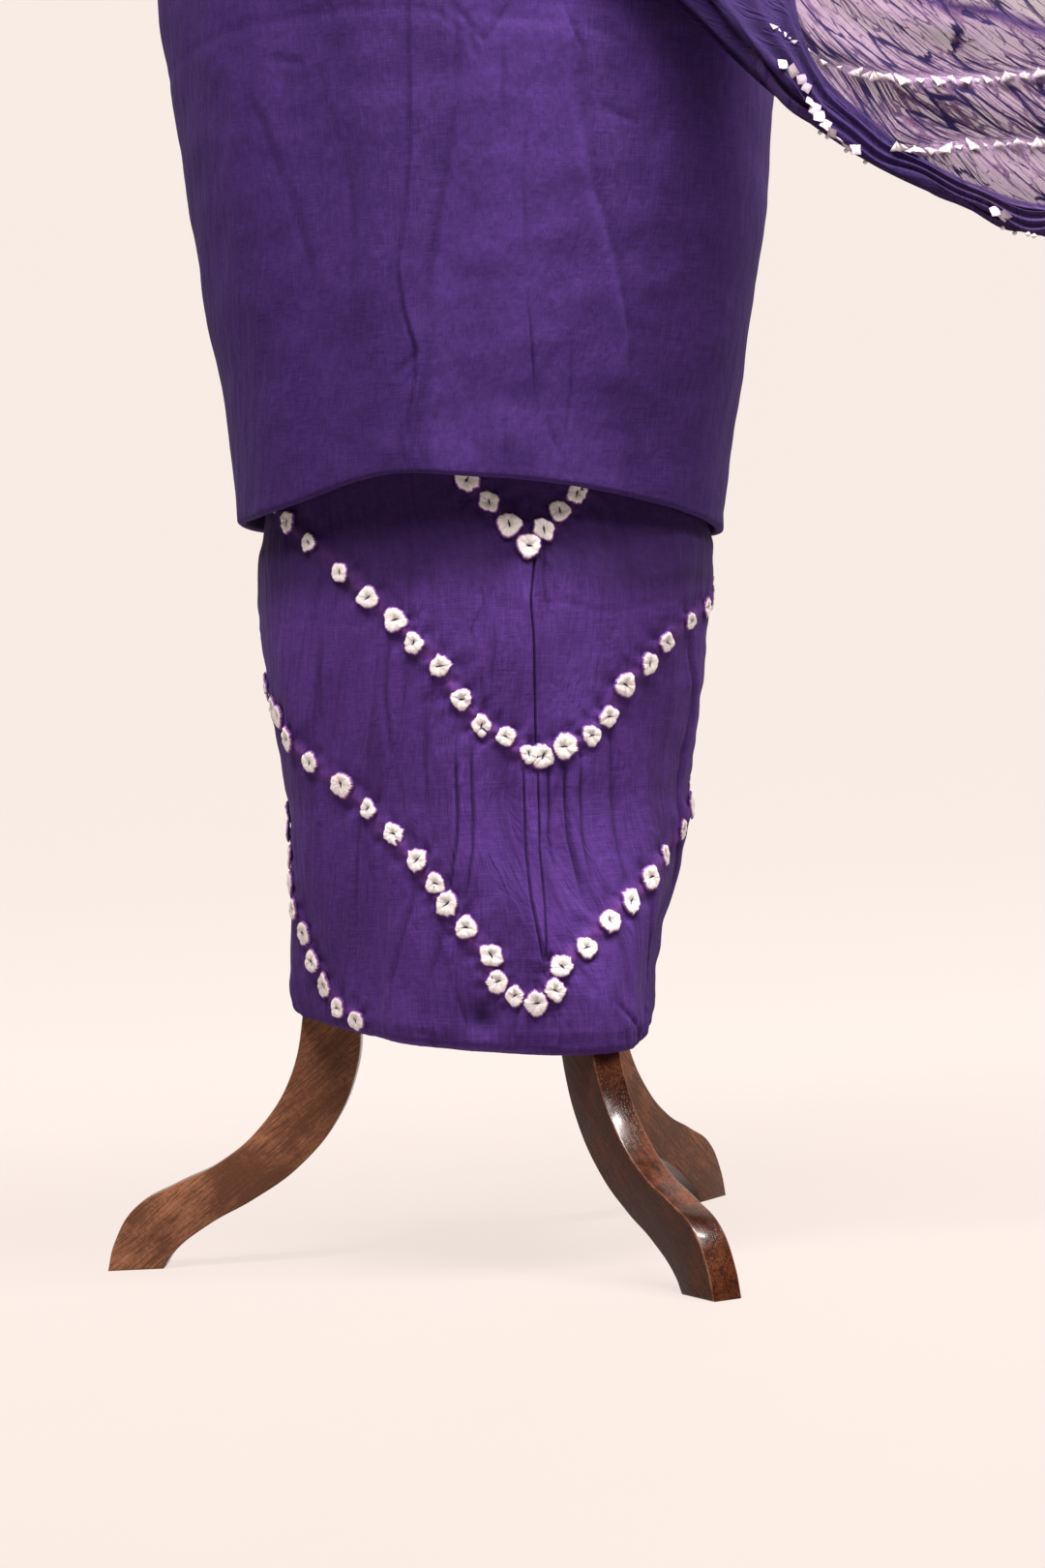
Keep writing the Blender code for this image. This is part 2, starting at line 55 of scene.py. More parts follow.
def add_node(tree, kind, inputs=(), **settings):
    """A node with its sockets set, or linked where the value is a socket."""
    made = tree.nodes.new(kind)
    for setting, value in settings.items():
        setattr(made, setting, value)
    for socket, value in dict(inputs).items():
        if isinstance(value, bpy.types.NodeSocket):
            tree.links.new(value, made.inputs[socket])
        else:
            made.inputs[socket].default_value = value
    return made


def effect_group(name, inputs, outputs):
    """An empty shader node group; inputs and outputs are (name, kind, default) rows."""
    tree = bpy.data.node_groups.new(name, "ShaderNodeTree")
    for label, kind, default in inputs:
        socket = tree.interface.new_socket(label, in_out="INPUT", socket_type=kind)
        if default is not None:
            socket.default_value = default
    for label, kind in outputs:
        tree.interface.new_socket(label, in_out="OUTPUT", socket_type=kind)
    return tree, tree.nodes.new("NodeGroupInput").outputs, tree.nodes.new("NodeGroupOutput")


def use_group(tree, group, **inputs):
    """The outputs of a node group laid in the tree, its inputs set or linked."""
    return add_node(tree, "ShaderNodeGroup", inputs, node_tree=group).outputs


def mesh_value(tree, name, output="Fac"):
    """What a mesh attribute says at the shaded place."""
    return add_node(tree, "ShaderNodeAttribute", attribute_name=name).outputs[output]


def maths(tree, operation, *values, clamp=False):
    inputs = dict(enumerate(values))
    return add_node(tree, "ShaderNodeMath", inputs, operation=operation, use_clamp=clamp).outputs[0]


def mix_colour(tree, share, first, second, blend="MIX"):
    first, second = ((*value, 1) if isinstance(value, tuple) else value for value in (first, second))
    inputs = {0: share, 6: first, 7: second}
    return add_node(tree, "ShaderNodeMix", inputs, data_type="RGBA", blend_type=blend).outputs[2]


def ease_map(tree, value, low, high, to_low=0.0, to_high=1.0):
    inputs = {0: value, 1: low, 2: high, 3: to_low, 4: to_high}
    made = add_node(tree, "ShaderNodeMapRange", inputs, interpolation_type="SMOOTHSTEP")
    return made.outputs[0]


def noise_map(tree, place, scale, detail, roughness, distortion=0.0, stretch=None, flat=False):
    """The value of a noise, its place stretched first where that is asked."""
    if stretch:
        place = add_node(tree, "ShaderNodeMapping", {"Vector": place, "Scale": stretch}).outputs[0]
    inputs = {"Vector": place, "Scale": scale, "Detail": detail, "Roughness": roughness,
              "Distortion": distortion}
    made = add_node(tree, "ShaderNodeTexNoise", inputs, noise_dimensions="2D" if flat else "3D")
    return made.outputs[0]


def bumped(tree, height, distance, strength, over=None):
    """A normal leaning with a height, over another normal where one is given."""
    inputs = {"Height": height, "Distance": distance, "Strength": strength}
    if over:
        inputs["Normal"] = over
    return add_node(tree, "ShaderNodeBump", inputs).outputs[0]


def feed(tree, node, **values):
    """Links each value to the node's input of that name."""
    for socket, value in values.items():
        tree.links.new(value, node.inputs[socket.replace("_", " ")])


def new_finish(name, roughness, **constants):
    """A material, its node tree and its Principled shader, with constants on its sockets."""
    material = bpy.data.materials.new(name)
    material.use_nodes = True
    tree = material.node_tree
    shader = tree.nodes["Principled BSDF"]
    shader.inputs["Roughness"].default_value = roughness
    for socket, value in constants.items():
        shader.inputs[socket.replace("_", " ")].default_value = value
    return material, tree, shader


def stained_grain():
    """Group: long fibres, dark pores and the cloudy take-up of stain in sawn wood."""
    tree, given, out = effect_group(
        "stained grain",
        [("Place", "NodeSocketVector", None), ("Dark", "NodeSocketColor", (0.02, 0.009, 0.006, 1)),
         ("Light", "NodeSocketColor", (0.12, 0.055, 0.03, 1))],
        [("Color", "NodeSocketColor"), ("Height", "NodeSocketFloat"), ("Cloud", "NodeSocketFloat")],
    )
    place = given["Place"]
    fibre = noise_map(tree, place, 3.0, 7.0, 0.62, 0.4, stretch=(5, 60, 60))
    pores = noise_map(tree, place, 1.4, 2.0, 0.5, stretch=(40, 700, 700))
    speck = noise_map(tree, place, 420.0, 3.0, 0.7)
    deep = ease_map(tree, pores, 0.50, 0.66)
    cloudy = ease_map(tree, noise_map(tree, place, 24.0, 4.0, 0.6), 0.32, 0.68)
    share = maths(tree, "MULTIPLY_ADD", fibre, 0.48, maths(tree, "MULTIPLY", cloudy, 0.34))
    share = maths(tree, "SUBTRACT", share, maths(tree, "MULTIPLY", deep, 0.22))
    share = maths(tree, "MULTIPLY_ADD", speck, 0.50, maths(tree, "SUBTRACT", share, 0.18))
    colour = mix_colour(tree, ease_map(tree, share, 0.25, 0.95), given["Dark"], given["Light"])
    feed(tree, out, Color=colour, Height=maths(tree, "SUBTRACT", fibre, deep), Cloud=cloudy)
    return tree


def walnut_lacquer():
    material, tree, shader = new_finish(
        "walnut lacquer", 0.3, Coat_Roughness=0.15, Coat_IOR=1.45, Specular_IOR_Level=0.16)
    place = mesh_value(tree, "plank_place", "Vector")
    sawn, arris, stain = (mesh_value(tree, name) for name in ("sawn_edge", "arris", "stain"))
    side = use_group(tree, grain_effect, Place=place,
                     Dark=(0.098, 0.036, 0.018, 1), Light=(0.340, 0.140, 0.072, 1))
    edge = use_group(tree, grain_effect, Place=place,
                     Dark=(0.018, 0.0040, 0.0015, 1), Light=(0.130, 0.034, 0.010, 1))
    # The sawn sides are darkened by the mesh's stain value, more on some planks than others
    deep = mix_colour(tree, 1.0, side["Color"], (0.28, 0.20, 0.16), blend="MULTIPLY")
    colour = mix_colour(tree, sawn, mix_colour(tree, stain, side["Color"], deep), edge["Color"])
    # A highlight painted lighter along the arrises, patchy with the cloud
    painted_arris_highlight = maths(tree, "MULTIPLY", arris, ease_map(tree, side["Cloud"], 0.2, 0.8, 0.15, 0.6))
    dull = ease_map(tree, side["Cloud"], 0, 1, 0.45, 0.60)
    feed(tree, shader,
         Base_Color=mix_colour(tree, painted_arris_highlight, colour, (0.24, 0.105, 0.055)),
         Roughness=maths(tree, "MULTIPLY_ADD", sawn, -0.22, dull),
         Coat_Weight=maths(tree, "MULTIPLY_ADD", sawn, 0.38, 0.02, clamp=True),
         Normal=bumped(tree, side["Height"], 0.00025, 0.5))
    return material


def add_object(name, data):
    """An object at the origin, linked to the scene."""
    made = bpy.data.objects.new(name, data)
    bpy.context.scene.collection.objects.link(made)
    return made


def lay_mesh(name, points, faces, material):
    """A smooth-shaded mesh object at the origin, its place in its points."""
    mesh = bpy.data.meshes.new(name)
    mesh.from_pydata([tuple(point) for point in points], [], faces)
    mesh.validate()
    mesh.shade_smooth()
    mesh.materials.append(material)
    return add_object(name, mesh)


def put_attributes(piece, **attributes):
    """Writes new attributes of the piece's mesh: a number or a vector for each point."""
    for name, values in attributes.items():
        values = np.asarray(values, dtype=np.float32)
        vector = values.size > len(piece.data.vertices)
        made = piece.data.attributes.new(name, "FLOAT_VECTOR" if vector else "FLOAT", "POINT")
        made.data.foreach_set("vector" if vector else "value", values.ravel())


grain_effect = stained_grain()
walnut = walnut_lacquer()

# Base hub and neck cap. Two blocks turned from the same wood: the hub that the legs are
# screwed round, hidden in the cloth, and the cap that closes the neck of the form.
HUB_RADIUS = 0.040
HUB_LOW, HUB_HIGH = 0.222, 0.2997
NECK_X = 0.010
CAP_FOOT = 1.4503
TURNED_SIDES = 64

hub_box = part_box("base_hub")
STAND_X = (hub_box[0][0] + hub_box[1][0]) / 2
STAND_Y = (hub_box[0][1] + hub_box[1][1]) / 2


def on_stand(x, y, z):
    """From the stand's own axis to the shared frame."""
    return (STAND_X + x, STAND_Y + y, z)


def turned_block(name, profile, centre_x):
    """A solid of revolution from (radius, height) places, top first, poles closed."""
    points, faces = [on_stand(centre_x, 0, profile[0][1])], []
    for radius, height in profile[1:-1]:
        for i in range(TURNED_SIDES):
            turn = tau * i / TURNED_SIDES
            points.append(on_stand(centre_x + radius * cos(turn), radius * sin(turn), height))
    points.append(on_stand(centre_x, 0, profile[-1][1]))
    last = len(points) - 1
    rings = len(profile) - 2
    for i in range(TURNED_SIDES):
        k = (i + 1) % TURNED_SIDES
        faces.append((0, 1 + i, 1 + k))
        for ring in range(rings - 1):
            above, below = 1 + ring * TURNED_SIDES, 1 + (ring + 1) * TURNED_SIDES
            faces.append((above + i, below + i, below + k, above + k))
        foot = 1 + (rings - 1) * TURNED_SIDES
        faces.append((last, foot + k, foot + i))
    block = lay_mesh(name, points, faces, walnut)
    block.data.set_sharp_from_angle(angle=radians(50))
    places = np.array(points) - np.array(on_stand(centre_x, 0, 0))
    even = np.ones(len(points))
    put_attributes(block, plank_place=places[:, [2, 0, 1]], sawn_edge=0.7 * even, arris=0 * even,
                   stain=0.6 * even)
    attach(block, "root")
    return block


def rounded_profile(corners, radius):
    """Corner places with each inner corner rounded over four short steps."""
    rounded = [corners[0]]
    for before, corner, after in zip(corners, corners[1:], corners[2:]):
        corner = Vector(corner)
        back = (Vector(before) - corner)
        on = (Vector(after) - corner)
        cut = min(radius, back.length * 0.45, on.length * 0.45)
        start, end = corner + back.normalized() * cut, corner + on.normalized() * cut
        for step in range(5):
            t = step / 4
            rounded.append(tuple((1 - t) ** 2 * start + 2 * t * (1 - t) * corner + t * t * end))
    return [*rounded, corners[-1]]


hub_corners = [(0, HUB_HIGH), (HUB_RADIUS, HUB_HIGH), (HUB_RADIUS, HUB_LOW), (0, HUB_LOW)]
hub = turned_block("walnut_hub", rounded_profile(hub_corners, 0.004), 0)
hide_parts("base_hub")

cap_corners = [
    (0, CAP_FOOT + 0.034), (0.022, CAP_FOOT + 0.034), (0.0262, CAP_FOOT + 0.029),
    (0.0238, CAP_FOOT + 0.023), (0.036, CAP_FOOT + 0.0183), (0.0555, CAP_FOOT + 0.0105),
    (0.0562, CAP_FOOT + 0.003), (0.0528, CAP_FOOT), (0, CAP_FOOT),
]
cap = turned_block("walnut_neck_cap", rounded_profile(cap_corners, 0.003), NECK_X)
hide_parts("neck_cap")

# Legs. Three equal planks, 20 mm thick, sawn to an S from one pattern and screwed to the
# hub on edge, 120 degrees apart. Their arrises are eased and the lacquer shines there.
PLANK = 0.020
ARRIS = 0.0013
LEG_AZIMUTHS = {"leg_left": 177.6, "leg_front": -62.4, "leg_back": 57.6}
# How much darker each plank's sawn sides are made
LEG_SIDE_DARKENING = {"leg_left": 0.0, "leg_front": 1.0, "leg_back": 0.35}
TOE, HEEL = (0.270, 0.0), (0.233, 0.0)
ROOT_TOP, ROOT_FOOT = (0.0403, 0.285), (0.0403, 0.237)
LEG_OUTER = [
    (0.085, 0.277), (0.117, 0.236), (0.130, 0.175), (0.142, 0.124), (0.163, 0.092),
    (0.193, 0.068), (0.223, 0.055), (0.250, 0.041), (0.265, 0.018),
]
LEG_INNER = [
    (0.226, 0.010), (0.201, 0.028), (0.171, 0.043), (0.140, 0.063),
    (0.113, 0.093), (0.098, 0.127), (0.091, 0.170), (0.073, 0.212),
]
GRAIN_LEAN = radians(-38)
# How far apart in the grain each plank was cut
BOARD_APART = 1.7


def plain_mesh(piece):
    """The piece's evaluated shape as a mesh of its own."""
    graph = bpy.context.evaluated_depsgraph_get()
    return bpy.data.meshes.new_from_object(piece.evaluated_get(graph))


def sawn_leg(name, number):
    """The pattern as a filled curve with eased arrises, made a mesh and stood in place."""
    pattern = bpy.data.curves.new(name, "CURVE")
    pattern.dimensions = "2D"
    pattern.fill_mode = "BOTH"
    pattern.extrude = PLANK / 2 - ARRIS
    pattern.bevel_depth = ARRIS
    pattern.bevel_resolution = 2
    pattern.offset = -ARRIS
    pattern.resolution_u = 9
    corners = (ROOT_TOP, TOE, HEEL, ROOT_FOOT)
    places = [ROOT_TOP, *LEG_OUTER, TOE, HEEL, *LEG_INNER, ROOT_FOOT]
    spline = pattern.splines.new("BEZIER")
    spline.bezier_points.add(len(places) - 1)
    spline.use_cyclic_u = True
    for point, place in zip(spline.bezier_points, places):
        point.co = (*place, 0)
        kind = "VECTOR" if place in corners else "AUTO"
        point.handle_left_type = point.handle_right_type = kind
    drawn = add_object(name + "_pattern", pattern)
    mesh = plain_mesh(drawn)
    bpy.data.objects.remove(drawn)
    shape = bmesh.new()
    shape.from_mesh(mesh)
    bmesh.ops.remove_doubles(shape, verts=shape.verts, dist=0.00002)
    bmesh.ops.recalc_face_normals(shape, faces=shape.faces)
    for face in shape.faces:
        face.smooth = abs(face.normal.z) < 0.99
    shape.to_mesh(mesh)
    shape.free()
    mesh.set_sharp_from_angle(angle=radians(42))
    mesh.materials.clear()
    mesh.materials.append(walnut)
    leg = add_object("walnut_" + name, mesh)
    flat = np.array([vertex.co for vertex in mesh.vertices])
    depth = np.clip((PLANK / 2 - np.abs(flat[:, 2])) / ARRIS, 0, 1)
    along = flat[:, 0] * cos(GRAIN_LEAN) + flat[:, 1] * sin(GRAIN_LEAN)
    across = flat[:, 1] * cos(GRAIN_LEAN) - flat[:, 0] * sin(GRAIN_LEAN)
    put_attributes(
        leg, plank_place=np.stack([along + number * BOARD_APART, across, flat[:, 2]], axis=1),
        sawn_edge=depth, stain=np.full(len(flat), LEG_SIDE_DARKENING[name]),
        arris=np.clip(4 * depth * (1 - depth), 0, 1))
    stand_up = Matrix.Rotation(radians(LEG_AZIMUTHS[name]), 4, "Z") @ Matrix.Rotation(pi / 2, 4, "X")
    mesh.transform(Matrix.Translation(on_stand(0, 0, 0)) @ stand_up)
    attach(leg, "root")
    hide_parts(name)


for number, name in enumerate(LEG_AZIMUTHS):
    sawn_leg(name, number)

# Dress form. A padded torso on the hub, covered in natural linen with seams down the
# middle, the sides and between; only its shoulders and neck stay free of the cloths.
# Its sections, and those of the cloths: height, centre x, half width and half depth.
FORM_SECTIONS = (
    (0.300, -0.003, 0.121, 0.101), (0.380, -0.001, 0.133, 0.108),
    (0.460, 0.001, 0.136, 0.108), (0.550, 0.004, 0.140, 0.110),
    (0.620, 0.006, 0.153, 0.118), (0.670, 0.008, 0.166, 0.122),
    (0.740, 0.010, 0.182, 0.128), (0.820, 0.010, 0.191, 0.131),
    (0.900, 0.010, 0.188, 0.129), (1.000, 0.010, 0.155, 0.113),
    (1.070, 0.010, 0.135, 0.102), (1.140, 0.010, 0.140, 0.108),
    (1.220, 0.010, 0.156, 0.121), (1.290, 0.010, 0.161, 0.116),
    (1.340, 0.010, 0.167, 0.096), (1.375, 0.010, 0.158, 0.080),
    (1.398, 0.010, 0.116, 0.066), (1.412, 0.010, 0.072, 0.057),
    (1.424, 0.010, 0.054, 0.053), (1.450, 0.010, 0.052, 0.052),
)
FORM_SEAMS = (-90, -48, 0, 48, 90, 132, 180, 228)
SEAM_DEPTH = 0.0009
SEAM_HALF_WIDTH = radians(0.7)
# What an angle round the form is multiplied by for a length of cloth
WRAP_RADIUS = 0.14


def smooth(low, high, value):
    """0 below low, 1 above high, and an eased rise between them."""
    share = np.clip((np.asarray(value, float) - low) / (high - low), 0.0, 1.0)
    return share * share * (3 - 2 * share)


def curve_at(rows, keys):
    """The columns after the first, read at each key on a smooth curve through the rows."""
    table = np.array(rows, float)
    at, values = table[:, 0], table[:, 1:]
    slopes = np.gradient(values, at, axis=0)
    keys = np.clip(np.asarray(keys, float), at[0], at[-1])
    i = np.clip(np.searchsorted(at, keys, side="right") - 1, 0, len(at) - 2)
    span = (at[i + 1] - at[i])[..., None]
    t = (keys - at[i])[..., None] / span
    rise = values[i + 1] - values[i]
    left, right = slopes[i] * span, slopes[i + 1] * span
    return values[i] + t * rise + t * (1 - t) * ((1 - t) * (left - rise) - t * (right - rise))


def round_angle(angle, turn=tau):
    """The same direction within half a turn of zero: turn is 360 for degrees."""
    return (angle + turn / 2) % turn - turn / 2


def bell(off):
    """1 at zero, falling to nothing on both sides beyond about two."""
    return np.exp(-np.square(off))


def about_stand(centre_x, radius, azimuth, height):
    """Places in the shared frame, by azimuth and radius from a centre near the stand's axis."""
    x, y = STAND_X + centre_x + radius * np.cos(azimuth), STAND_Y + radius * np.sin(azimuth)
    return np.stack([x, y, np.broadcast_to(height, x.shape)], axis=-1)


def oval_radius(half_width, half_depth, azimuth):
    """Distance from the centre of an ellipse to its edge."""
    return 1 / np.hypot(np.cos(azimuth) / half_width, np.sin(azimuth) / half_depth)


def plain_weave_group():
    """Group: crossing threads at a pitch, and the thick and thin places of the yarn."""
    tree, given, out = effect_group(
        "plain weave",
        [("Place", "NodeSocketVector", None), ("Pitch", "NodeSocketFloat", 0.0005)],
        [("Height", "NodeSocketFloat"), ("Slub", "NodeSocketFloat")],
    )
    apart = add_node(tree, "ShaderNodeSeparateXYZ", {0: given["Place"]}).outputs
    per_metre = maths(tree, "DIVIDE", tau, given["Pitch"])
    warp = maths(tree, "SINE", maths(tree, "MULTIPLY", apart[0], per_metre))
    weft = maths(tree, "SINE", maths(tree, "MULTIPLY", apart[1], per_metre))
    cross = maths(tree, "MULTIPLY_ADD", maths(tree, "MULTIPLY", warp, weft), 0.5, 0.5)
    slubs = [noise_map(tree, given["Place"], 1.0, 3.0, 0.65, stretch=stretch, flat=True)
             for stretch in ((55, 1500, 1), (1500, 55, 1))]
    slub = maths(tree, "MULTIPLY_ADD", slubs[0], 0.5, maths(tree, "MULTIPLY", slubs[1], 0.5))
    feed(tree, out, Height=maths(tree, "MULTIPLY_ADD", cross, 0.4, slub),
         Slub=ease_map(tree, slub, 0.36, 0.64))
    return tree


def cloud_group():
    """Group: soft uneven patches, large and small, as dye or dust leaves in cloth."""
    tree, given, out = effect_group(
        "cloudy patches",
        [("Place", "NodeSocketVector", None), ("Size", "NodeSocketFloat", 0.05)],
        [("Cloud", "NodeSocketFloat"), ("Fleck", "NodeSocketFloat")],
    )
    scale = maths(tree, "DIVIDE", 1.0, given["Size"])
    cloud = noise_map(tree, given["Place"], scale, 5.0, 0.6, 0.3)
    fleck = noise_map(tree, given["Place"], maths(tree, "MULTIPLY", scale, 12.0), 3.0, 0.7)
    feed(tree, out, Cloud=ease_map(tree, cloud, 0.3, 0.7), Fleck=ease_map(tree, fleck, 0.35, 0.65))
    return tree


weave_effect = plain_weave_group()
cloud_effect = cloud_group()


def woven(tree, place, pitch, patch):
    """The weave at its thread pitch and the uneven patches at their size, at one place."""
    return (use_group(tree, weave_effect, Place=place, Pitch=pitch),
            use_group(tree, cloud_effect, Place=place, Size=patch))


def cloth_spot(tree):
    """Where the shaded place lies on the flat cloth, in metres."""
    return add_node(tree, "ShaderNodeUVMap", uv_map="cloth_place").outputs[0]


def laid_over(tree, colour, *layers):
    """Colours laid over one another, each by its mask, the most it covers and its colour."""
    for mask, most, tint in layers:
        colour = mix_colour(tree, maths(tree, "MULTIPLY", mask, most), colour, tint)
    return colour


def form_linen():
    material, tree, shader = new_finish("form linen", 0.9, Sheen_Weight=0.15, Sheen_Roughness=0.5)
    weave, cloud = woven(tree, cloth_spot(tree), 0.0011, 0.12)
    colour = mix_colour(tree, weave["Slub"], (0.41, 0.345, 0.275), (0.57, 0.505, 0.415))
    colour = laid_over(
        tree, colour, (cloud["Cloud"], 0.25, (0.37, 0.305, 0.235)),
        (mesh_value(tree, "crease"), 0.7, (0.22, 0.17, 0.12)))
    feed(tree, shader, Base_Color=colour,
         Roughness=maths(tree, "MULTIPLY_ADD", weave["Slub"], 0.1, 0.82),
         Normal=bumped(tree, weave["Height"], 0.0004, 0.8))
    return material


def grid_faces(rows, columns, closed=False):
    """Quads of a grid of points laid row by row, turned to face outwards."""
    faces = []
    for j in range(rows - 1):
        for i in range(columns if closed else columns - 1):
            k = (i + 1) % columns
            a, b = j * columns + i, j * columns + k
            faces.append((a, a + columns, b + columns, b))
    return faces


def put_cloth_place(piece, u, v):
    """A UV map in metres: along the wrap or length, and across it."""
    layer = piece.data.uv_layers.new(name="cloth_place")
    corners = np.empty(len(piece.data.loops), dtype=np.int64)
    piece.data.loops.foreach_get("vertex_index", corners)
    flat = np.stack([np.ravel(u)[corners], np.ravel(v)[corners]], axis=1)
    layer.uv.foreach_set("vector", flat.astype(np.float32).ravel())


def padded_form():
    turns = list(np.arange(0, 360, 5.0))
    for seam in FORM_SEAMS:
        turns += [(seam % 360) + step for step in (-1.6, -0.7, 0.7, 1.6)]
    turns = np.radians(sorted(set(np.round(np.array(turns) % 360, 3))))
    heights = np.concatenate([np.linspace(1.450, 1.385, 24), np.linspace(1.380, 0.300, 130)])
    sections = curve_at(FORM_SECTIONS, heights)
    azimuth, level = np.meshgrid(turns, heights)
    centre, wide, deep = (sections[:, k][:, None] for k in range(3))
    seam = np.zeros_like(azimuth)
    for place in FORM_SEAMS:
        seam = np.maximum(seam, bell(round_angle(azimuth - radians(place)) / SEAM_HALF_WIDTH))
    radius = oval_radius(wide, deep, azimuth) - SEAM_DEPTH * seam
    points = about_stand(centre, radius, azimuth, level).reshape(-1, 3).tolist()
    columns, last = len(turns), (len(heights) - 1) * len(turns)
    faces = grid_faces(len(heights), columns, closed=True)
    poles = [heights[0], heights[-1]]
    points += [list(on_stand(NECK_X, 0, poles[0])), list(on_stand(FORM_SECTIONS[0][1], 0, poles[1]))]
    for i in range(columns):
        k = (i + 1) % columns
        faces.append((len(points) - 2, i, k))
        faces.append((len(points) - 1, last + k, last + i))
    form = lay_mesh("linen_dress_form", points, faces, form_linen())
    form.data.set_sharp_from_angle(angle=radians(60))
    put_cloth_place(form, np.append(azimuth * WRAP_RADIUS, [0, 0]), np.append(level, poles))
    put_attributes(form, crease=np.append(seam, [0, 0]))
    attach(form, "root")
    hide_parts("form_body")
    return form


form = padded_form()

# Bottom cloth. Purple cotton tied in points before dyeing, wrapped once round the form,
# lapped behind, drawn in round the legs and curled under. The ties leave puckers in it.
FORM_BOTTOM = 0.300
BOTTOM_SECTIONS = (
    (0.300, -0.003, 0.132, 0.113), (0.340, -0.002, 0.138, 0.116),
    (0.400, 0.000, 0.146, 0.119), (0.455, 0.002, 0.1495, 0.118),
    (0.490, 0.002, 0.1435, 0.114), (0.550, 0.004, 0.1475, 0.116),
    (0.610, 0.006, 0.157, 0.122), (0.660, 0.008, 0.1659, 0.1232),
)
# The lower edge: azimuth and height
BOTTOM_RIM = (
    (-182, 0.165), (-165, 0.158), (-140, 0.151), (-110, 0.144), (-62, 0.138), (-30, 0.141),
    (20, 0.143), (57, 0.147), (110, 0.144), (150, 0.150), (178, 0.165),
)
# Where the cloth is drawn round each leg: distance from the axis and radius of the bend
LEG_WRAPS = {"leg_left": (0.1068, 0.0320), "leg_front": (0.1100, 0.0338), "leg_back": (0.1085, 0.0328)}
RIM_OVAL = (-0.008, 0.104, 0.112)
RIM_HEIGHT, RIM_CURL, RIM_DROP = 0.165, 0.013, 0.0075
LEG_CLEAR, LEG_EASE, RIM_LEAST = radians(9), radians(9), 0.42
BOTTOM_START, BOTTOM_END = -257.5, 130.9
LAP_LIFT = 0.0042
# The lapped end in degrees: how far back it has its whole lift, and the easing before
BOTTOM_LAP, BOTTOM_LAP_EASE = 26.0, 38.0
BOTTOM_TOP = 0.660
# Folds: azimuth at the top and at the foot in degrees, foot and top height, how far the
# fold stands out, and its half width in degrees
BOTTOM_FOLDS = (
    (-79, -78, 0.08, 0.48, 0.0050, 5), (-98, -100, 0.10, 0.36, 0.0030, 7),
    (-62, -60, 0.22, 0.40, 0.0035, 7), (-118, -128, 0.08, 0.27, 0.0034, 8),
    (-40, -36, 0.09, 0.34, 0.0035, 8), (-10, -4, 0.12, 0.46, 0.0015, 8),
    (-158, -150, 0.10, 0.44, 0.0025, 9), (30, 34, 0.10, 0.40, 0.0040, 9),
    (82, 78, 0.10, 0.46, 0.0040, 9), (160, 166, 0.12, 0.42, 0.0035, 9),
)
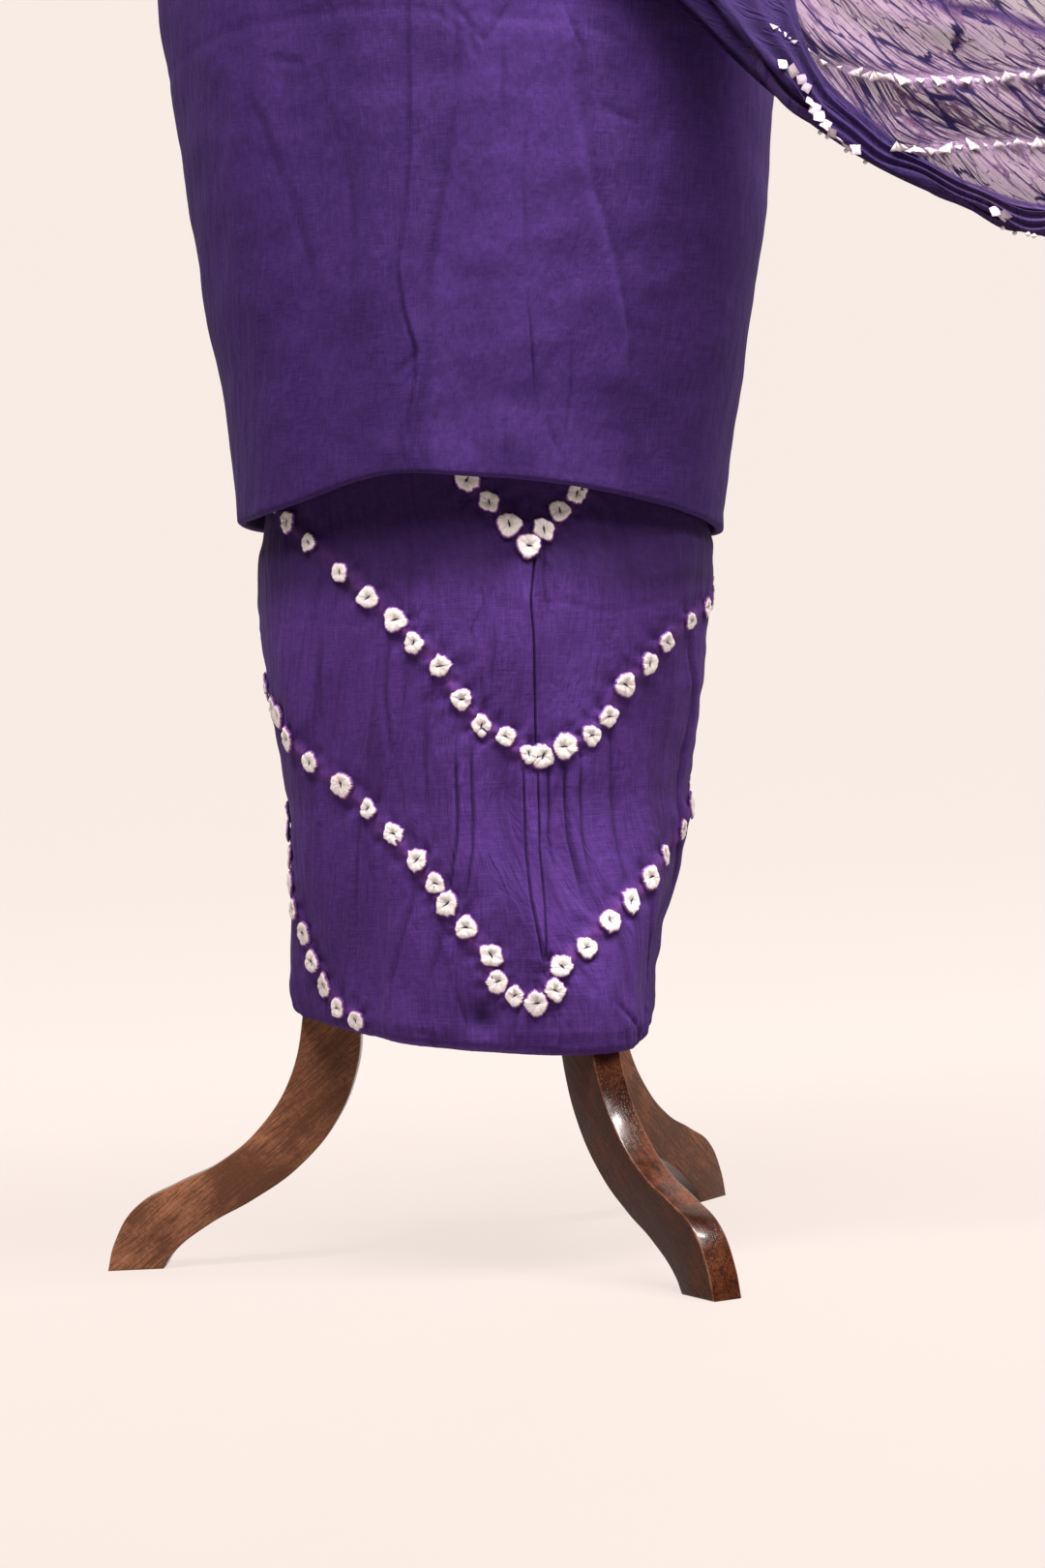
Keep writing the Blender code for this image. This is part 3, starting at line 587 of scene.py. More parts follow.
# Creases pressed into the cloth: depth, half width in degrees, how far the cloth stands
# up on the side of rising azimuth and on the other, then azimuth and height of places
BOTTOM_CREASES = (
    (0.0016, 0.30, 0.0011, 0.0014, (
        (-74.5, 0.457), (-74.5, 0.449), (-76.1, 0.423), (-75.4, 0.398), (-75.1, 0.372), (-74.7, 0.330),
        (-75.0, 0.318))),
    (0.0008, 0.50, 0.0004, 0.0003, ((-71.0, 0.462), (-72.0, 0.435), (-70.7, 0.410))),
    (0.0014, 0.30, 0.0014, 0.0011, (
        (-78.7, 0.318), (-78.7, 0.291), (-79.3, 0.266), (-79.1, 0.236), (-77.6, 0.208), (-76.5, 0.188))),
    (0.0015, 0.30, 0.0013, 0.0011, (
        (-74.1, 0.318), (-74.1, 0.291), (-75.0, 0.266), (-75.4, 0.235), (-76.1, 0.208), (-76.8, 0.188))),
    (0.0012, 0.45, 0.0010, 0.0006, ((-70.7, 0.318), (-70.7, 0.291), (-71.8, 0.273), (-71.4, 0.260))),
    (0.0016, 0.45, 0.0018, 0.0010, (
        (-65.8, 0.322), (-65.8, 0.290), (-65.9, 0.271), (-65.0, 0.252), (-64.6, 0.239))),
    (0.0013, 0.50, 0.0008, 0.0010, ((-61.3, 0.325), (-61.3, 0.290), (-61.7, 0.270), (-61.3, 0.243))),
    (0.0016, 0.45, 0.0010, 0.0014, (
        (-99.2, 0.330), (-99.2, 0.292), (-99.7, 0.275), (-101.0, 0.262), (-103.0, 0.240))),
    (0.0014, 0.45, 0.0014, 0.0006, (
        (-94.4, 0.335), (-94.4, 0.293), (-95.0, 0.268), (-96.8, 0.247), (-98.6, 0.235))),
    (0.0009, 0.60, 0.0006, 0.0002, ((-90.9, 0.375), (-89.9, 0.355))),
    (0.0008, 0.60, 0.0004, 0.0004, ((-86.4, 0.399), (-88.1, 0.367))),
    (0.0008, 0.80, 0.0004, 0.0007, (
        (-114.0, 0.250), (-114.9, 0.238), (-118.1, 0.222), (-121.6, 0.202), (-125.5, 0.185))),
    (0.0010, 0.70, 0.0004, 0.0008, ((-106.0, 0.218), (-106.7, 0.212), (-109.9, 0.191))),
    (0.0012, 0.90, 0.0010, 0.0004, ((-41.4, 0.228), (-41.4, 0.204), (-37.1, 0.178), (-42.8, 0.155))),
    (0.0012, 0.90, 0.0008, 0.0004, ((-59.3, 0.170), (-53.3, 0.157), (-47.9, 0.144))),
    (0.0009, 0.70, 0.0006, 0.0003, ((-51.0, 0.352), (-50.2, 0.310), (-50.0, 0.262), (-49.2, 0.225))),
    (0.0009, 0.80, 0.0005, 0.0003, ((-118.0, 0.410), (-120.4, 0.370), (-119.0, 0.330))),
    (0.0008, 0.80, 0.0004, 0.0006, ((-132.0, 0.300), (-134.5, 0.262), (-138.0, 0.225))),
    (0.0009, 0.90, 0.0005, 0.0003, ((-140.5, 0.405), (-142.2, 0.376), (-143.0, 0.350))),
    (0.0012, 1.20, 0.0010, 0.0004, ((-20.0, 0.400), (-14.0, 0.350), (-18.0, 0.290), (-12.0, 0.230))),
    (0.0010, 0.80, 0.0008, 0.0006, ((-102.0, 0.178), (-100.0, 0.160), (-101.0, 0.146))),
    (0.0010, 0.80, 0.0006, 0.0008, ((-84.0, 0.168), (-85.5, 0.154), (-84.0, 0.142))),
    (0.0009, 0.70, 0.0004, 0.0004, ((-108.0, 0.350), (-109.0, 0.322), (-108.2, 0.290))),
)
# The dimple where the foremost folds run into the rim: azimuth, height, depth and half
# width, and the cloth's distance from the axis there
DIMPLE = (-95.1, 0.163, 0.0070, 0.012)
DIMPLE_RADIUS = 0.12
# Height of the line pressed across the cloth when it lay folded
BOTTOM_PRESS = 0.417
# Painted shadow of the top cloth's hem, darkening the cloth below it: azimuth and lower edge
PAINTED_HEM_SHADOW_FROM = (
    (-200, 0.430), (-150, 0.424), (-118, 0.425), (-96, 0.430), (-75, 0.428), (-52, 0.418),
    (-20, 0.420), (140, 0.430),
)
# The tied lines, as azimuth and height of each tie: those on the front follow the cloth
TIED_LINES = (
    ((-92.4, 0.500), (-86.2, 0.486), (-80.7, 0.470), (-75.3, 0.457), (-70.2, 0.466),
     (-64.8, 0.477), (-58.7, 0.489), (-52.0, 0.502)),
    ((-161.0, 0.498), (-153.6, 0.484), (-143.9, 0.469), (-132.8, 0.448), (-124.6, 0.430),
     (-116.6, 0.415), (-110.3, 0.400), (-103.4, 0.385), (-97.5, 0.364), (-92.1, 0.347),
     (-84.7, 0.338), (-78.1, 0.327), (-73.9, 0.324), (-66.9, 0.330), (-58.8, 0.336),
     (-52.6, 0.348), (-46.9, 0.367), (-39.1, 0.380), (-32.5, 0.394), (-22.1, 0.408),
     (-11.0, 0.417), (0.0, 0.425), (9.0, 0.438), (18.0, 0.451), (27.0, 0.465), (36.0, 0.479),
     (45.0, 0.493)),
    ((-173.5, 0.377), (-167.0, 0.366), (-163.2, 0.359), (-156.5, 0.344), (-148.2, 0.329),
     (-138.1, 0.313), (-129.6, 0.297), (-121.6, 0.281), (-114.2, 0.264), (-109.0, 0.249),
     (-105.2, 0.236), (-99.6, 0.220), (-92.6, 0.202), (-90.8, 0.186), (-85.7, 0.176),
     (-80.6, 0.173), (-75.6, 0.180), (-73.6, 0.194), (-66.4, 0.206), (-59.2, 0.220),
     (-51.2, 0.232), (-41.8, 0.244), (-30.5, 0.258), (-16.6, 0.274), (-7.0, 0.288),
     (3.0, 0.302), (12.0, 0.316), (21.0, 0.330), (30.0, 0.344), (39.0, 0.358), (48.0, 0.372),
     (57.0, 0.386), (66.0, 0.400), (75.0, 0.414), (84.0, 0.428), (93.0, 0.442)),
    ((-179.5, 0.285), (-174.5, 0.268), (-171.3, 0.252), (-168.3, 0.235), (-164.9, 0.218),
     (-161.2, 0.201), (-158.0, 0.185), (-150.8, 0.1715), (-142.6, 0.1635)),
    ((-248.0, 0.452), (-240.0, 0.440), (-232.0, 0.428), (-224.0, 0.417), (-216.0, 0.406),
     (-208.0, 0.396), (-199.0, 0.390), (-190.0, 0.388), (-181.5, 0.383)),
    ((-250.0, 0.330), (-242.0, 0.336), (-234.0, 0.341), (-226.0, 0.342), (-218.0, 0.338),
     (-210.0, 0.331), (-202.0, 0.320), (-194.0, 0.309), (-186.5, 0.297)),
    ((24.0, 0.168), (32.0, 0.182), (40.0, 0.197), (48.0, 0.212), (56.0, 0.227), (64.0, 0.242),
     (72.0, 0.257), (80.0, 0.272), (88.0, 0.287), (96.0, 0.302)),
)
PUCKER_REACH = 0.012
# How much cloth goes into each row of a turned edge
EDGE_ROW = 0.003


def oval_support(centre_x, half_width, half_depth, direction):
    """How far an ellipse off the axis reaches in a direction."""
    reach = np.hypot(half_width * np.cos(direction), half_depth * np.sin(direction))
    return reach + centre_x * np.cos(direction)


def rim_support(direction):
    """Reach of the cloth in a direction where it is drawn round the three legs."""
    reach = oval_support(*RIM_OVAL, direction)
    for leg, (distance, radius) in LEG_WRAPS.items():
        lean = np.cos(direction - radians(LEG_AZIMUTHS[leg]))
        reach = np.maximum(reach, distance * lean + radius)
    return reach


def wrapped_round_legs(azimuth, height):
    """Centre x and plain radius of the bottom cloth, easing from the form to the legs."""
    centre_x, half_width, half_depth = np.moveaxis(curve_at(BOTTOM_SECTIONS, height), -1, 0)
    radius = oval_radius(half_width, half_depth, azimuth)
    share = smooth(-FORM_BOTTOM, -RIM_HEIGHT, -height)
    taut = np.full(azimuth.shape, 9.0)
    for spread in np.radians(np.arange(-80, 81, 2.0)):
        direction = azimuth + spread
        oval = oval_support(centre_x, half_width, half_depth, direction)
        reach = (1 - share) * oval + share * rim_support(direction)
        taut = np.minimum(taut, (reach - centre_x * np.cos(direction)) / cos(spread))
    return centre_x, np.where(height < FORM_BOTTOM, taut, radius)


def fold_rise(folds, azimuth, height):
    """How far the folds lift a cloth off its plain section."""
    rise = np.zeros(np.broadcast(azimuth, height).shape)
    for top_deg, foot_deg, foot, top, depth, half_deg in folds:
        along = (height - foot) / (top - foot)
        centre = np.radians(foot_deg + (top_deg - foot_deg) * along)
        off = round_angle(azimuth - centre) / radians(half_deg)
        ends = smooth(foot - 0.03, foot + 0.04, height) * smooth(-top, -top + 0.08, -height)
        rise = rise + depth * ends * bell(off)
    return rise


def crease_marks(creases, degrees, height):
    """Rise of the pressed creases in metres, and their mask from 0 to 1, by which the colour is darkened
    there as painted shade.
    """
    rise = np.zeros(degrees.shape)
    mask = np.zeros(degrees.shape)
    for depth, half_width, after, before, places in creases:
        places = np.array(sorted(places, key=lambda place: place[1]))
        line = np.interp(height, places[:, 1], places[:, 0])
        foot, top = places[0, 1], places[-1, 1]
        ends = smooth(foot - 0.014, foot + 0.020, height) * smooth(-top - 0.014, -top + 0.020, -height)
        off = round_angle(degrees - line, 360) / half_width
        side = np.where(off > 0, after, before)
        shoulder = side * (1 - np.exp(-off * off / 2)) * np.exp(-np.abs(off) / 5.0) * 2.2
        rise += ends * (shoulder - depth * bell(off))
        mask = np.maximum(mask, min(1.0, depth / 0.0016) * ends * np.exp(-off * off * 1.6))
    return rise, mask


def rough_field(u, v, seed, octaves=3, ridged=False):
    """Noise from about -1 to 1 at each (u, v), or sharp-topped ridges from 0 to 1."""
    flat = np.empty(np.size(u))
    for index, (a, b) in enumerate(zip(np.ravel(u), np.ravel(v))):
        value, share, total = 0.0, 1.0, 0.0
        for octave in range(octaves):
            size = 1 << octave
            drawn = noise.noise((a * size, b * size, seed + 7.3 * octave))
            value += share * ((1 - 2 * abs(drawn)) if ridged else drawn * 1.7)
            total += share
            share *= 0.5
        flat[index] = value / total
    return flat.reshape(np.shape(u))


def cloth_columns(stretches):
    """Column azimuths in degrees from (start, end, step) stretches."""
    columns = [np.arange(start, end - step * 0.5, step) for start, end, step in stretches]
    return np.append(np.concatenate(columns), stretches[-1][1])


def off_segment(across, up, run, climb):
    """Distance from a segment that starts at the origin, and the share along it."""
    share = np.clip((across * run + up * climb) / (run * run + climb * climb), 0, 1)
    return np.hypot(across - share * run, up - share * climb), share


def tie_distance(degrees, height, radius):
    """Distance to the nearest tie and to the nearest tied line, and that line's angle."""
    to_tie = np.full(degrees.shape, 1.0)
    to_line = np.full(degrees.shape, 1.0)
    swing = np.zeros(degrees.shape)
    for line in TIED_LINES:
        for index, (azimuth, z) in enumerate(line):
            across = radius * np.radians(round_angle(degrees - azimuth, 360))
            up = height - z
            apart = np.hypot(across, up)
            near = apart < to_tie
            swing = np.where(near, np.arctan2(up, across) + index * 1.9, swing)
            to_tie = np.where(near, apart, to_tie)
            if index + 1 < len(line):
                run = radius * radians(line[index + 1][0] - azimuth)
                off, _ = off_segment(across, up, run, line[index + 1][1] - z)
                to_line = np.minimum(to_line, off)
    return to_tie, to_line, swing


def carried_on(values, rows, share=1):
    """A wall's values with more rows below it, alike its last row or a share of that."""
    return np.concatenate([values, np.repeat(share * values[-1:], rows, axis=0)])


def cloth_from_rows(name, wall, edge, around, height, foot, material):
    """A cloth's mesh from the rows of its wall and of its turned edge, and its flat place."""
    points = np.concatenate([wall, edge])
    faces = grid_faces(*points.shape[:2])
    cloth = lay_mesh(name, points.reshape(-1, 3), faces, material)
    below = foot[None, :] - np.arange(1, len(edge) + 1)[:, None] * EDGE_ROW
    put_cloth_place(cloth, carried_on(around, len(edge)), np.concatenate([height, below]))
    return cloth


def cotton(name, tint, shine):
    """The shader of a dyed cotton before its colour: a material, its tree and its shader."""
    return new_finish(name, 0.85, Specular_IOR_Level=shine, Sheen_Weight=0.03, Sheen_Roughness=0.4,
                      Sheen_Tint=(*tint, 1))


def finish_cotton(tree, shader, weave, colour, crinkles):
    """Joins a cotton's colour, its thread-wise dullness and its weave, over the crinkles."""
    feed(tree, shader, Base_Color=colour,
         Roughness=maths(tree, "MULTIPLY_ADD", weave["Slub"], 0.12, 0.78),
         Normal=bumped(tree, weave["Height"], 0.00022, 0.7, crinkles))


def bandhani_cotton():
    material, tree, shader = cotton("bandhani purple cotton", (0.55, 0.40, 0.85), 0.12)
    place = cloth_spot(tree)
    weave, cloud = woven(tree, place, 0.0006, 0.055)
    streak = noise_map(tree, place, 1.0, 4.0, 0.65, 0.8, stretch=(70, 8, 1), flat=True)
    tied_patchy = ease_map(tree, cloud["Fleck"], 0, 1, 0.35, 0.75)
    colour = mix_colour(tree, cloud["Cloud"], (0.040, 0.0128, 0.100), (0.058, 0.0188, 0.138))
    colour = laid_over(
        tree, colour, (weave["Slub"], 0.75, (0.092, 0.036, 0.208)),
        (cloud["Fleck"], 0.30, (0.030, 0.007, 0.066)),
        (ease_map(tree, streak, 0.48, 0.80), 0.50, (0.028, 0.008, 0.060)),
        (mesh_value(tree, "tied_line"), tied_patchy, (0.115, 0.032, 0.165)),
        # painted shade in the pressed creases and the dimple
        (mesh_value(tree, "crease"), 0.7, (0.008, 0.003, 0.018)),
        # painted shadow below the top cloth's hem
        (mesh_value(tree, "painted_hem_shadow"), 0.55, (0.010, 0.003, 0.022)))
    crinkle = noise_map(tree, place, 1.0, 5.0, 0.55, 0.5, stretch=(75, 17, 1), flat=True)
    finish_cotton(tree, shader, weave, colour, bumped(tree, crinkle, 0.0050, 0.7))
    return material


def bandhani_wrap():
    """The wrapped cloth as a grid: its wall, then the curl of its lower edge."""
    degrees = cloth_columns((
        (BOTTOM_START, -205, 1.7), (-205, -160, 0.9), (-160, -100, 0.75), (-100, -80, 0.5),
        (-80, -70, 0.25), (-70, -50, 0.5), (-50, 10, 0.8), (10, BOTTOM_END, 1.7)))
    azimuth = np.radians(degrees)
    rim = curve_at(BOTTOM_RIM, (degrees + 182) % 360 - 182)[:, 0]
    near = [np.abs(round_angle(azimuth - radians(leg))) for leg in LEG_AZIMUTHS.values()]
    free_of_legs = smooth(LEG_CLEAR, LEG_CLEAR + LEG_EASE, np.min(near, axis=0))
    curl = RIM_LEAST + (1 - RIM_LEAST) * free_of_legs
    lowest = rim + RIM_DROP
    level = np.concatenate([np.linspace(BOTTOM_TOP, 0.530, 14), np.linspace(0.5275, 0.1631, 192)])
    height = level[:, None] + (lowest - level[-1]) * smooth(-0.34, -level[-1], -level)[:, None]
    turn_deg = np.broadcast_to(degrees, height.shape)
    turn = np.radians(turn_deg)
    centre_x, radius = wrapped_round_legs(turn, height)
    around = radius * turn
    lap_end = BOTTOM_END - BOTTOM_LAP
    lap = LAP_LIFT * smooth(lap_end - BOTTOM_LAP_EASE, lap_end, turn_deg)
    radius = radius + fold_rise(BOTTOM_FOLDS, turn, height) + lap

    # Creases, puckers and the drawn lines between the ties
    crease, mask = crease_marks(BOTTOM_CREASES, turn_deg, height)
    to_tie, to_line, swing = tie_distance(turn_deg, height, radius)
    free_of_ties = smooth(0.0065, 0.0105, to_tie)
    crease, mask = crease * free_of_ties, mask * free_of_ties
    pucker = 0.0007 * np.exp(-np.maximum(to_tie - 0.007, 0) / PUCKER_REACH) * np.cos(5 * swing)
    cord = 0.0008 * bell(to_line / 0.0035) - 0.0006 * bell((to_line - 0.0085) / 0.004)
    cord = cord + 0.0008 * bell(to_line / 0.009) * rough_field(around * 230, height * 230, 5.5, 1)
    hollow_deg, hollow_height, hollow_depth, hollow_size = DIMPLE
    beside = DIMPLE_RADIUS * np.radians(turn_deg - hollow_deg)
    hollow_off = np.hypot(beside, height - hollow_height) / hollow_size
    press = bell((height - BOTTOM_PRESS - 0.004 * np.sin(turn * 9)) / 0.0022)
    press = press * smooth(14, 22, np.abs(turn_deg + 92))
    radius = radius + crease - hollow_depth * bell(hollow_off) - 0.00035 * press
    # The dimple is darkened with the creases, as painted shade
    mask = np.maximum(mask, 0.9 * bell(1.7 * hollow_off))

    # Crinkles and slack of the cloth, and its gathers along the rim
    shown = 1 - smooth(0.500, 0.520, height)
    crinkle = rough_field(around * 62, height * 13, 3.1, 3, ridged=True)
    crinkle = crinkle * (0.15 + smooth(-0.15, 0.6, rough_field(around * 10, height * 8, 61.0, 2)))
    sway = rough_field(around * 14, height * 9, 8.7, 2)
    radius = radius + shown * (0.0014 * crinkle + 0.0022 * sway + pucker + cord)
    above_rim = height - lowest[None, :]
    gather = rough_field(around * 85, height * 16, 21.4, 2, ridged=True)
    radius = radius + 0.0024 * (1 - smooth(0.0, 0.055, above_rim)) * (gather - 0.2)
    radius = radius - 0.0014 * (1 - smooth(-0.002, 0.008, above_rim))
    ripple = smooth(-42, -20, turn_deg) * (1 - smooth(25, 45, turn_deg))
    ripple = ripple + 0.6 * bell((turn_deg + 178) / 16)
    radius = radius + 0.0022 * ripple * rough_field(around * 11, height * 44, 77.0, 2) * shown

    curled = []
    for bend in pi * np.linspace(0.08, 0.875, 13):
        reach = radius[-1] - curl * RIM_CURL * (1 - cos(bend))
        curled.append(about_stand(centre_x[-1], reach, azimuth, rim + RIM_DROP * (1 - sin(bend))))
    cloth = cloth_from_rows(
        "bandhani_bottom_cloth", about_stand(centre_x, radius, turn, height), curled, around, height,
        lowest, bandhani_cotton())
    # Painted shadow of the hem: the colour is darkened from an uneven line up to the hem
    uneven = 0.008 * rough_field(around * 9, height * 5, 44.0, 2)
    painted_hem_shadow = smooth(-0.006, 0.024, height - np.interp(turn_deg, *zip(*PAINTED_HEM_SHADOW_FROM)) + uneven)
    marks = {"crease": np.clip(mask, 0, 1), "tied_line": bell(to_line / 0.0045), "painted_hem_shadow": painted_hem_shadow}
    put_attributes(cloth, **{name: carried_on(values, len(curled), 0) for name, values in marks.items()})
    return cloth


bottom_cloth = bandhani_wrap()

# Tied dots. Each was a pinch of cloth bound with thread while it was dyed: undone, it
# stays a small puffed rosette, white round a dark pinched middle, with a soft halo.
TIE_REACH = 0.0085
TIE_SIDES = 20
# Rings of a rosette from its middle out: share of its reach and of its height
TIE_RINGS = ((0.09, 0.30), (0.22, 0.72), (0.48, 0.95), (0.76, 1.00), (0.91, 0.50), (1.00, -0.14))
TIE_HEIGHT = 0.0015
TIE_KINDS = 10
# How far the small ties stand off the cloth's own points
TIE_LIFT = 0.0004


def vector_maths(tree, operation, *values, output=0):
    inputs = dict(enumerate(values))
    return add_node(tree, "ShaderNodeVectorMath", inputs, operation=operation).outputs[output]


def tied_white():
    material, tree, shader = new_finish(
        "tied cotton", 0.85, Specular_IOR_Level=0.12, Sheen_Weight=0.03, Sheen_Roughness=0.4)
    crimp = mesh_value(tree, "crimp")
    apart = add_node(tree, "ShaderNodeSeparateXYZ", {0: mesh_value(tree, "tie_place", "Vector")}).outputs
    flat = add_node(tree, "ShaderNodeCombineXYZ", {0: apart[0], 1: apart[1]}).outputs[0]
    kind = add_node(tree, "ShaderNodeCombineXYZ", {2: apart[2]}).outputs[0]
    reach = vector_maths(tree, "LENGTH", flat, output="Value")
    ray_place = vector_maths(tree, "ADD", vector_maths(tree, "NORMALIZE", flat), kind)
    rays = noise_map(tree, ray_place, 4.2, 3.0, 0.7)
    centred = maths(tree, "SUBTRACT", rays, 0.5)
    ragged = maths(tree, "MULTIPLY_ADD", centred, 0.34, reach)
    hair = ease_map(tree, maths(tree, "ABSOLUTE", centred), 0.0, 0.028, 0.55, 0.0)
    line = maths(tree, "MAXIMUM", hair, ease_map(tree, crimp, 0.5, 1.0, 0, 0.28))
    line = maths(tree, "MULTIPLY", line, ease_map(tree, reach, 1.0, 0.2, 0.3, 1.0))
    colour = mix_colour(tree, line, (0.82, 0.75, 0.72), (0.26, 0.18, 0.22))
    stretched = add_node(tree, "ShaderNodeCombineXYZ", {
        0: apart[0], 1: maths(tree, "MULTIPLY", apart[1], 4.0)}).outputs[0]
    pinch = vector_maths(tree, "LENGTH", stretched, output="Value")
    pinch = maths(tree, "MULTIPLY_ADD", centred, 0.9, pinch)
    colour = mix_colour(tree, ease_map(tree, pinch, 0.36, 0.20), colour, (0.020, 0.006, 0.034))
    colour = mix_colour(tree, ease_map(tree, ragged, 0.80, 0.89), colour, (0.29, 0.115, 0.33))
    colour = mix_colour(tree, ease_map(tree, ragged, 0.88, 0.99), colour, (0.066, 0.021, 0.130))
    feed(tree, shader, Base_Color=colour, Roughness=maths(tree, "MULTIPLY_ADD", rays, 0.1, 0.78),
         Normal=bumped(tree, rays, 0.0016, 0.8))
    return material


def tie_pattern(number):
    """One rosette lying flat at the origin: uneven puffed petals round a pinch."""
    draw = np.random.default_rng(40 + number)
    crimp = np.zeros(TIE_SIDES)
    side = int(draw.integers(0, 2))
    while side < TIE_SIDES:
        crimp[side] = draw.uniform(0.35, 1.0)
        side += int(draw.integers(2, 4))
    puff = draw.uniform(0.75, 1.2, TIE_SIDES) * (1 - 0.35 * crimp)
    bulge = 1 + draw.normal(0, 0.03, TIE_SIDES) - 0.06 * crimp
    bulge[draw.integers(0, TIE_SIDES, 3)] += 0.10
    corners, sides = draw.uniform(0, tau), int(draw.choice([3, 4, 4, 5]))
    slim, lean = draw.uniform(0.80, 1.0), draw.uniform(0, pi)
    off_x, off_y = draw.uniform(-0.12, 0.12, 2)
    points, places, crimps = [(off_x * TIE_REACH, off_y * TIE_REACH, 0.0)], [(0, 0, number * 3.7)], [0.0]
    for share, rise in TIE_RINGS:
        for i in range(TIE_SIDES):
            turn = tau * i / TIE_SIDES
            slice_turn = (turn + corners) % (tau / sides) - pi / sides
            squared = 0.60 + 0.45 * cos(pi / sides) / cos(slice_turn)
            squared *= 1 - (1 - slim) * abs(sin(turn - lean))
            reach = share * squared * (bulge[i] if share > 0.3 else 1.0)
            x = reach * cos(turn) + off_x * (1 - share)
            y = reach * sin(turn) + off_y * (1 - share)
            lift = rise * (puff[i] if 0.2 < share < 0.8 else 1.0)
            points.append((x * TIE_REACH, y * TIE_REACH, lift * TIE_HEIGHT))
            places.append((share * cos(turn), share * sin(turn), number * 3.7))
            crimps.append(crimp[i])
    faces = []
    for i in range(TIE_SIDES):
        k = (i + 1) % TIE_SIDES
        faces.append((0, 1 + i, 1 + k))
        for ring in range(len(TIE_RINGS) - 1):
            inner, outer = 1 + ring * TIE_SIDES, 1 + (ring + 1) * TIE_SIDES
            faces.append((inner + i, outer + i, outer + k, inner + k))
    pattern = lay_mesh(f"tie_pattern_{number}", points, faces, tie_finish)
    put_attributes(pattern, tie_place=places, crimp=crimps)
    return pattern


def scatter_tree(name, kinds):
    """Geometry Nodes: one of the patterns stood on each point, turned by its attributes."""
    tree = bpy.data.node_groups.new(name, "GeometryNodeTree")
    sockets = {}
    for label, kind in (("Geometry", "Geometry"), ("Patterns", "Collection"), ("Size", "Float"),
                        ("Seed", "Int"), ("Finish", "Material")):
        made = tree.interface.new_socket(label, in_out="INPUT", socket_type="NodeSocket" + kind)
        sockets[label] = made.identifier
    tree.interface.new_socket("Geometry", in_out="OUTPUT", socket_type="NodeSocketGeometry")
    given = tree.nodes.new("NodeGroupInput").outputs

    def field(attribute, kind):
        made = add_node(tree, "GeometryNodeInputNamedAttribute", {"Name": attribute}, data_type=kind)
        return made.outputs["Attribute"]

    patterns = add_node(tree, "GeometryNodeCollectionInfo", {
        "Collection": given["Patterns"], "Separate Children": True, "Reset Children": True})
    pick = add_node(tree, "FunctionNodeRandomValue", {
        "Min": 0, "Max": kinds - 1, "Seed": given["Seed"]}, data_type="INT")
    lean = add_node(tree, "FunctionNodeAlignRotationToVector", {
        "Vector": field("facing", "FLOAT_VECTOR")}, axis="Z")
    round_z = add_node(tree, "FunctionNodeAxisAngleToRotation", {
        "Axis": (0, 0, 1), "Angle": field("spin", "FLOAT")})
    spin = add_node(tree, "FunctionNodeRotateRotation", {
        "Rotation": lean.outputs[0], "Rotate By": round_z.outputs[0]}, rotation_space="LOCAL")
    stood = add_node(tree, "GeometryNodeInstanceOnPoints", {
        "Points": given["Geometry"], "Instance": patterns.outputs[0], "Pick Instance": True,
        "Instance Index": pick.outputs[2], "Rotation": spin.outputs[0],
        "Scale": maths(tree, "MULTIPLY", field("size", "FLOAT"), given["Size"])})
    realised = add_node(tree, "GeometryNodeRealizeInstances", {0: stood.outputs[0]})
    finished = add_node(tree, "GeometryNodeSetMaterial", {
        "Geometry": realised.outputs[0], "Material": given["Finish"]})
    add_node(tree, "NodeGroupOutput", {0: finished.outputs[0]})
    return tree, sockets


def scatter(name, spots, patterns, seed, finish):
    """Stands the patterns on the spots and keeps the result as one plain mesh. A spot is a
    place, the way that it faces, its turn about that and its size."""
    points, facing, spin, size = zip(*spots)
    seeds = lay_mesh(name + "_places", points, [], finish)
    put_attributes(seeds, facing=facing, spin=spin, size=size)
    shelf = bpy.data.collections.new(name + "_patterns")
    bpy.context.scene.collection.children.link(shelf)
    for pattern in patterns:
        bpy.context.scene.collection.objects.unlink(pattern)
        shelf.objects.link(pattern)
    tree, sockets = scatter_tree(name, len(patterns))
    stamp = seeds.modifiers.new("stamp", "NODES")
    stamp.node_group = tree
    for label, value in (("Patterns", shelf), ("Size", 1.0), ("Seed", seed), ("Finish", finish)):
        stamp[sockets[label]] = value
    mesh = plain_mesh(seeds)
    mesh.name = name
    mesh.shade_smooth()
    made = add_object(name, mesh)
    for old in (seeds, *patterns):
        bpy.data.objects.remove(old)
    bpy.data.collections.remove(shelf)
    bpy.data.node_groups.remove(tree)
    return made


def surface_points(cloth):
    """Points and normals of a finished cloth, for setting small things on it."""
    count = len(cloth.data.vertices)
    points, normals = np.empty(count * 3), np.empty(count * 3)
    cloth.data.vertices.foreach_get("co", points)
    cloth.data.vertex_normals.foreach_get("vector", normals)
    return points.reshape(-1, 3), normals.reshape(-1, 3)


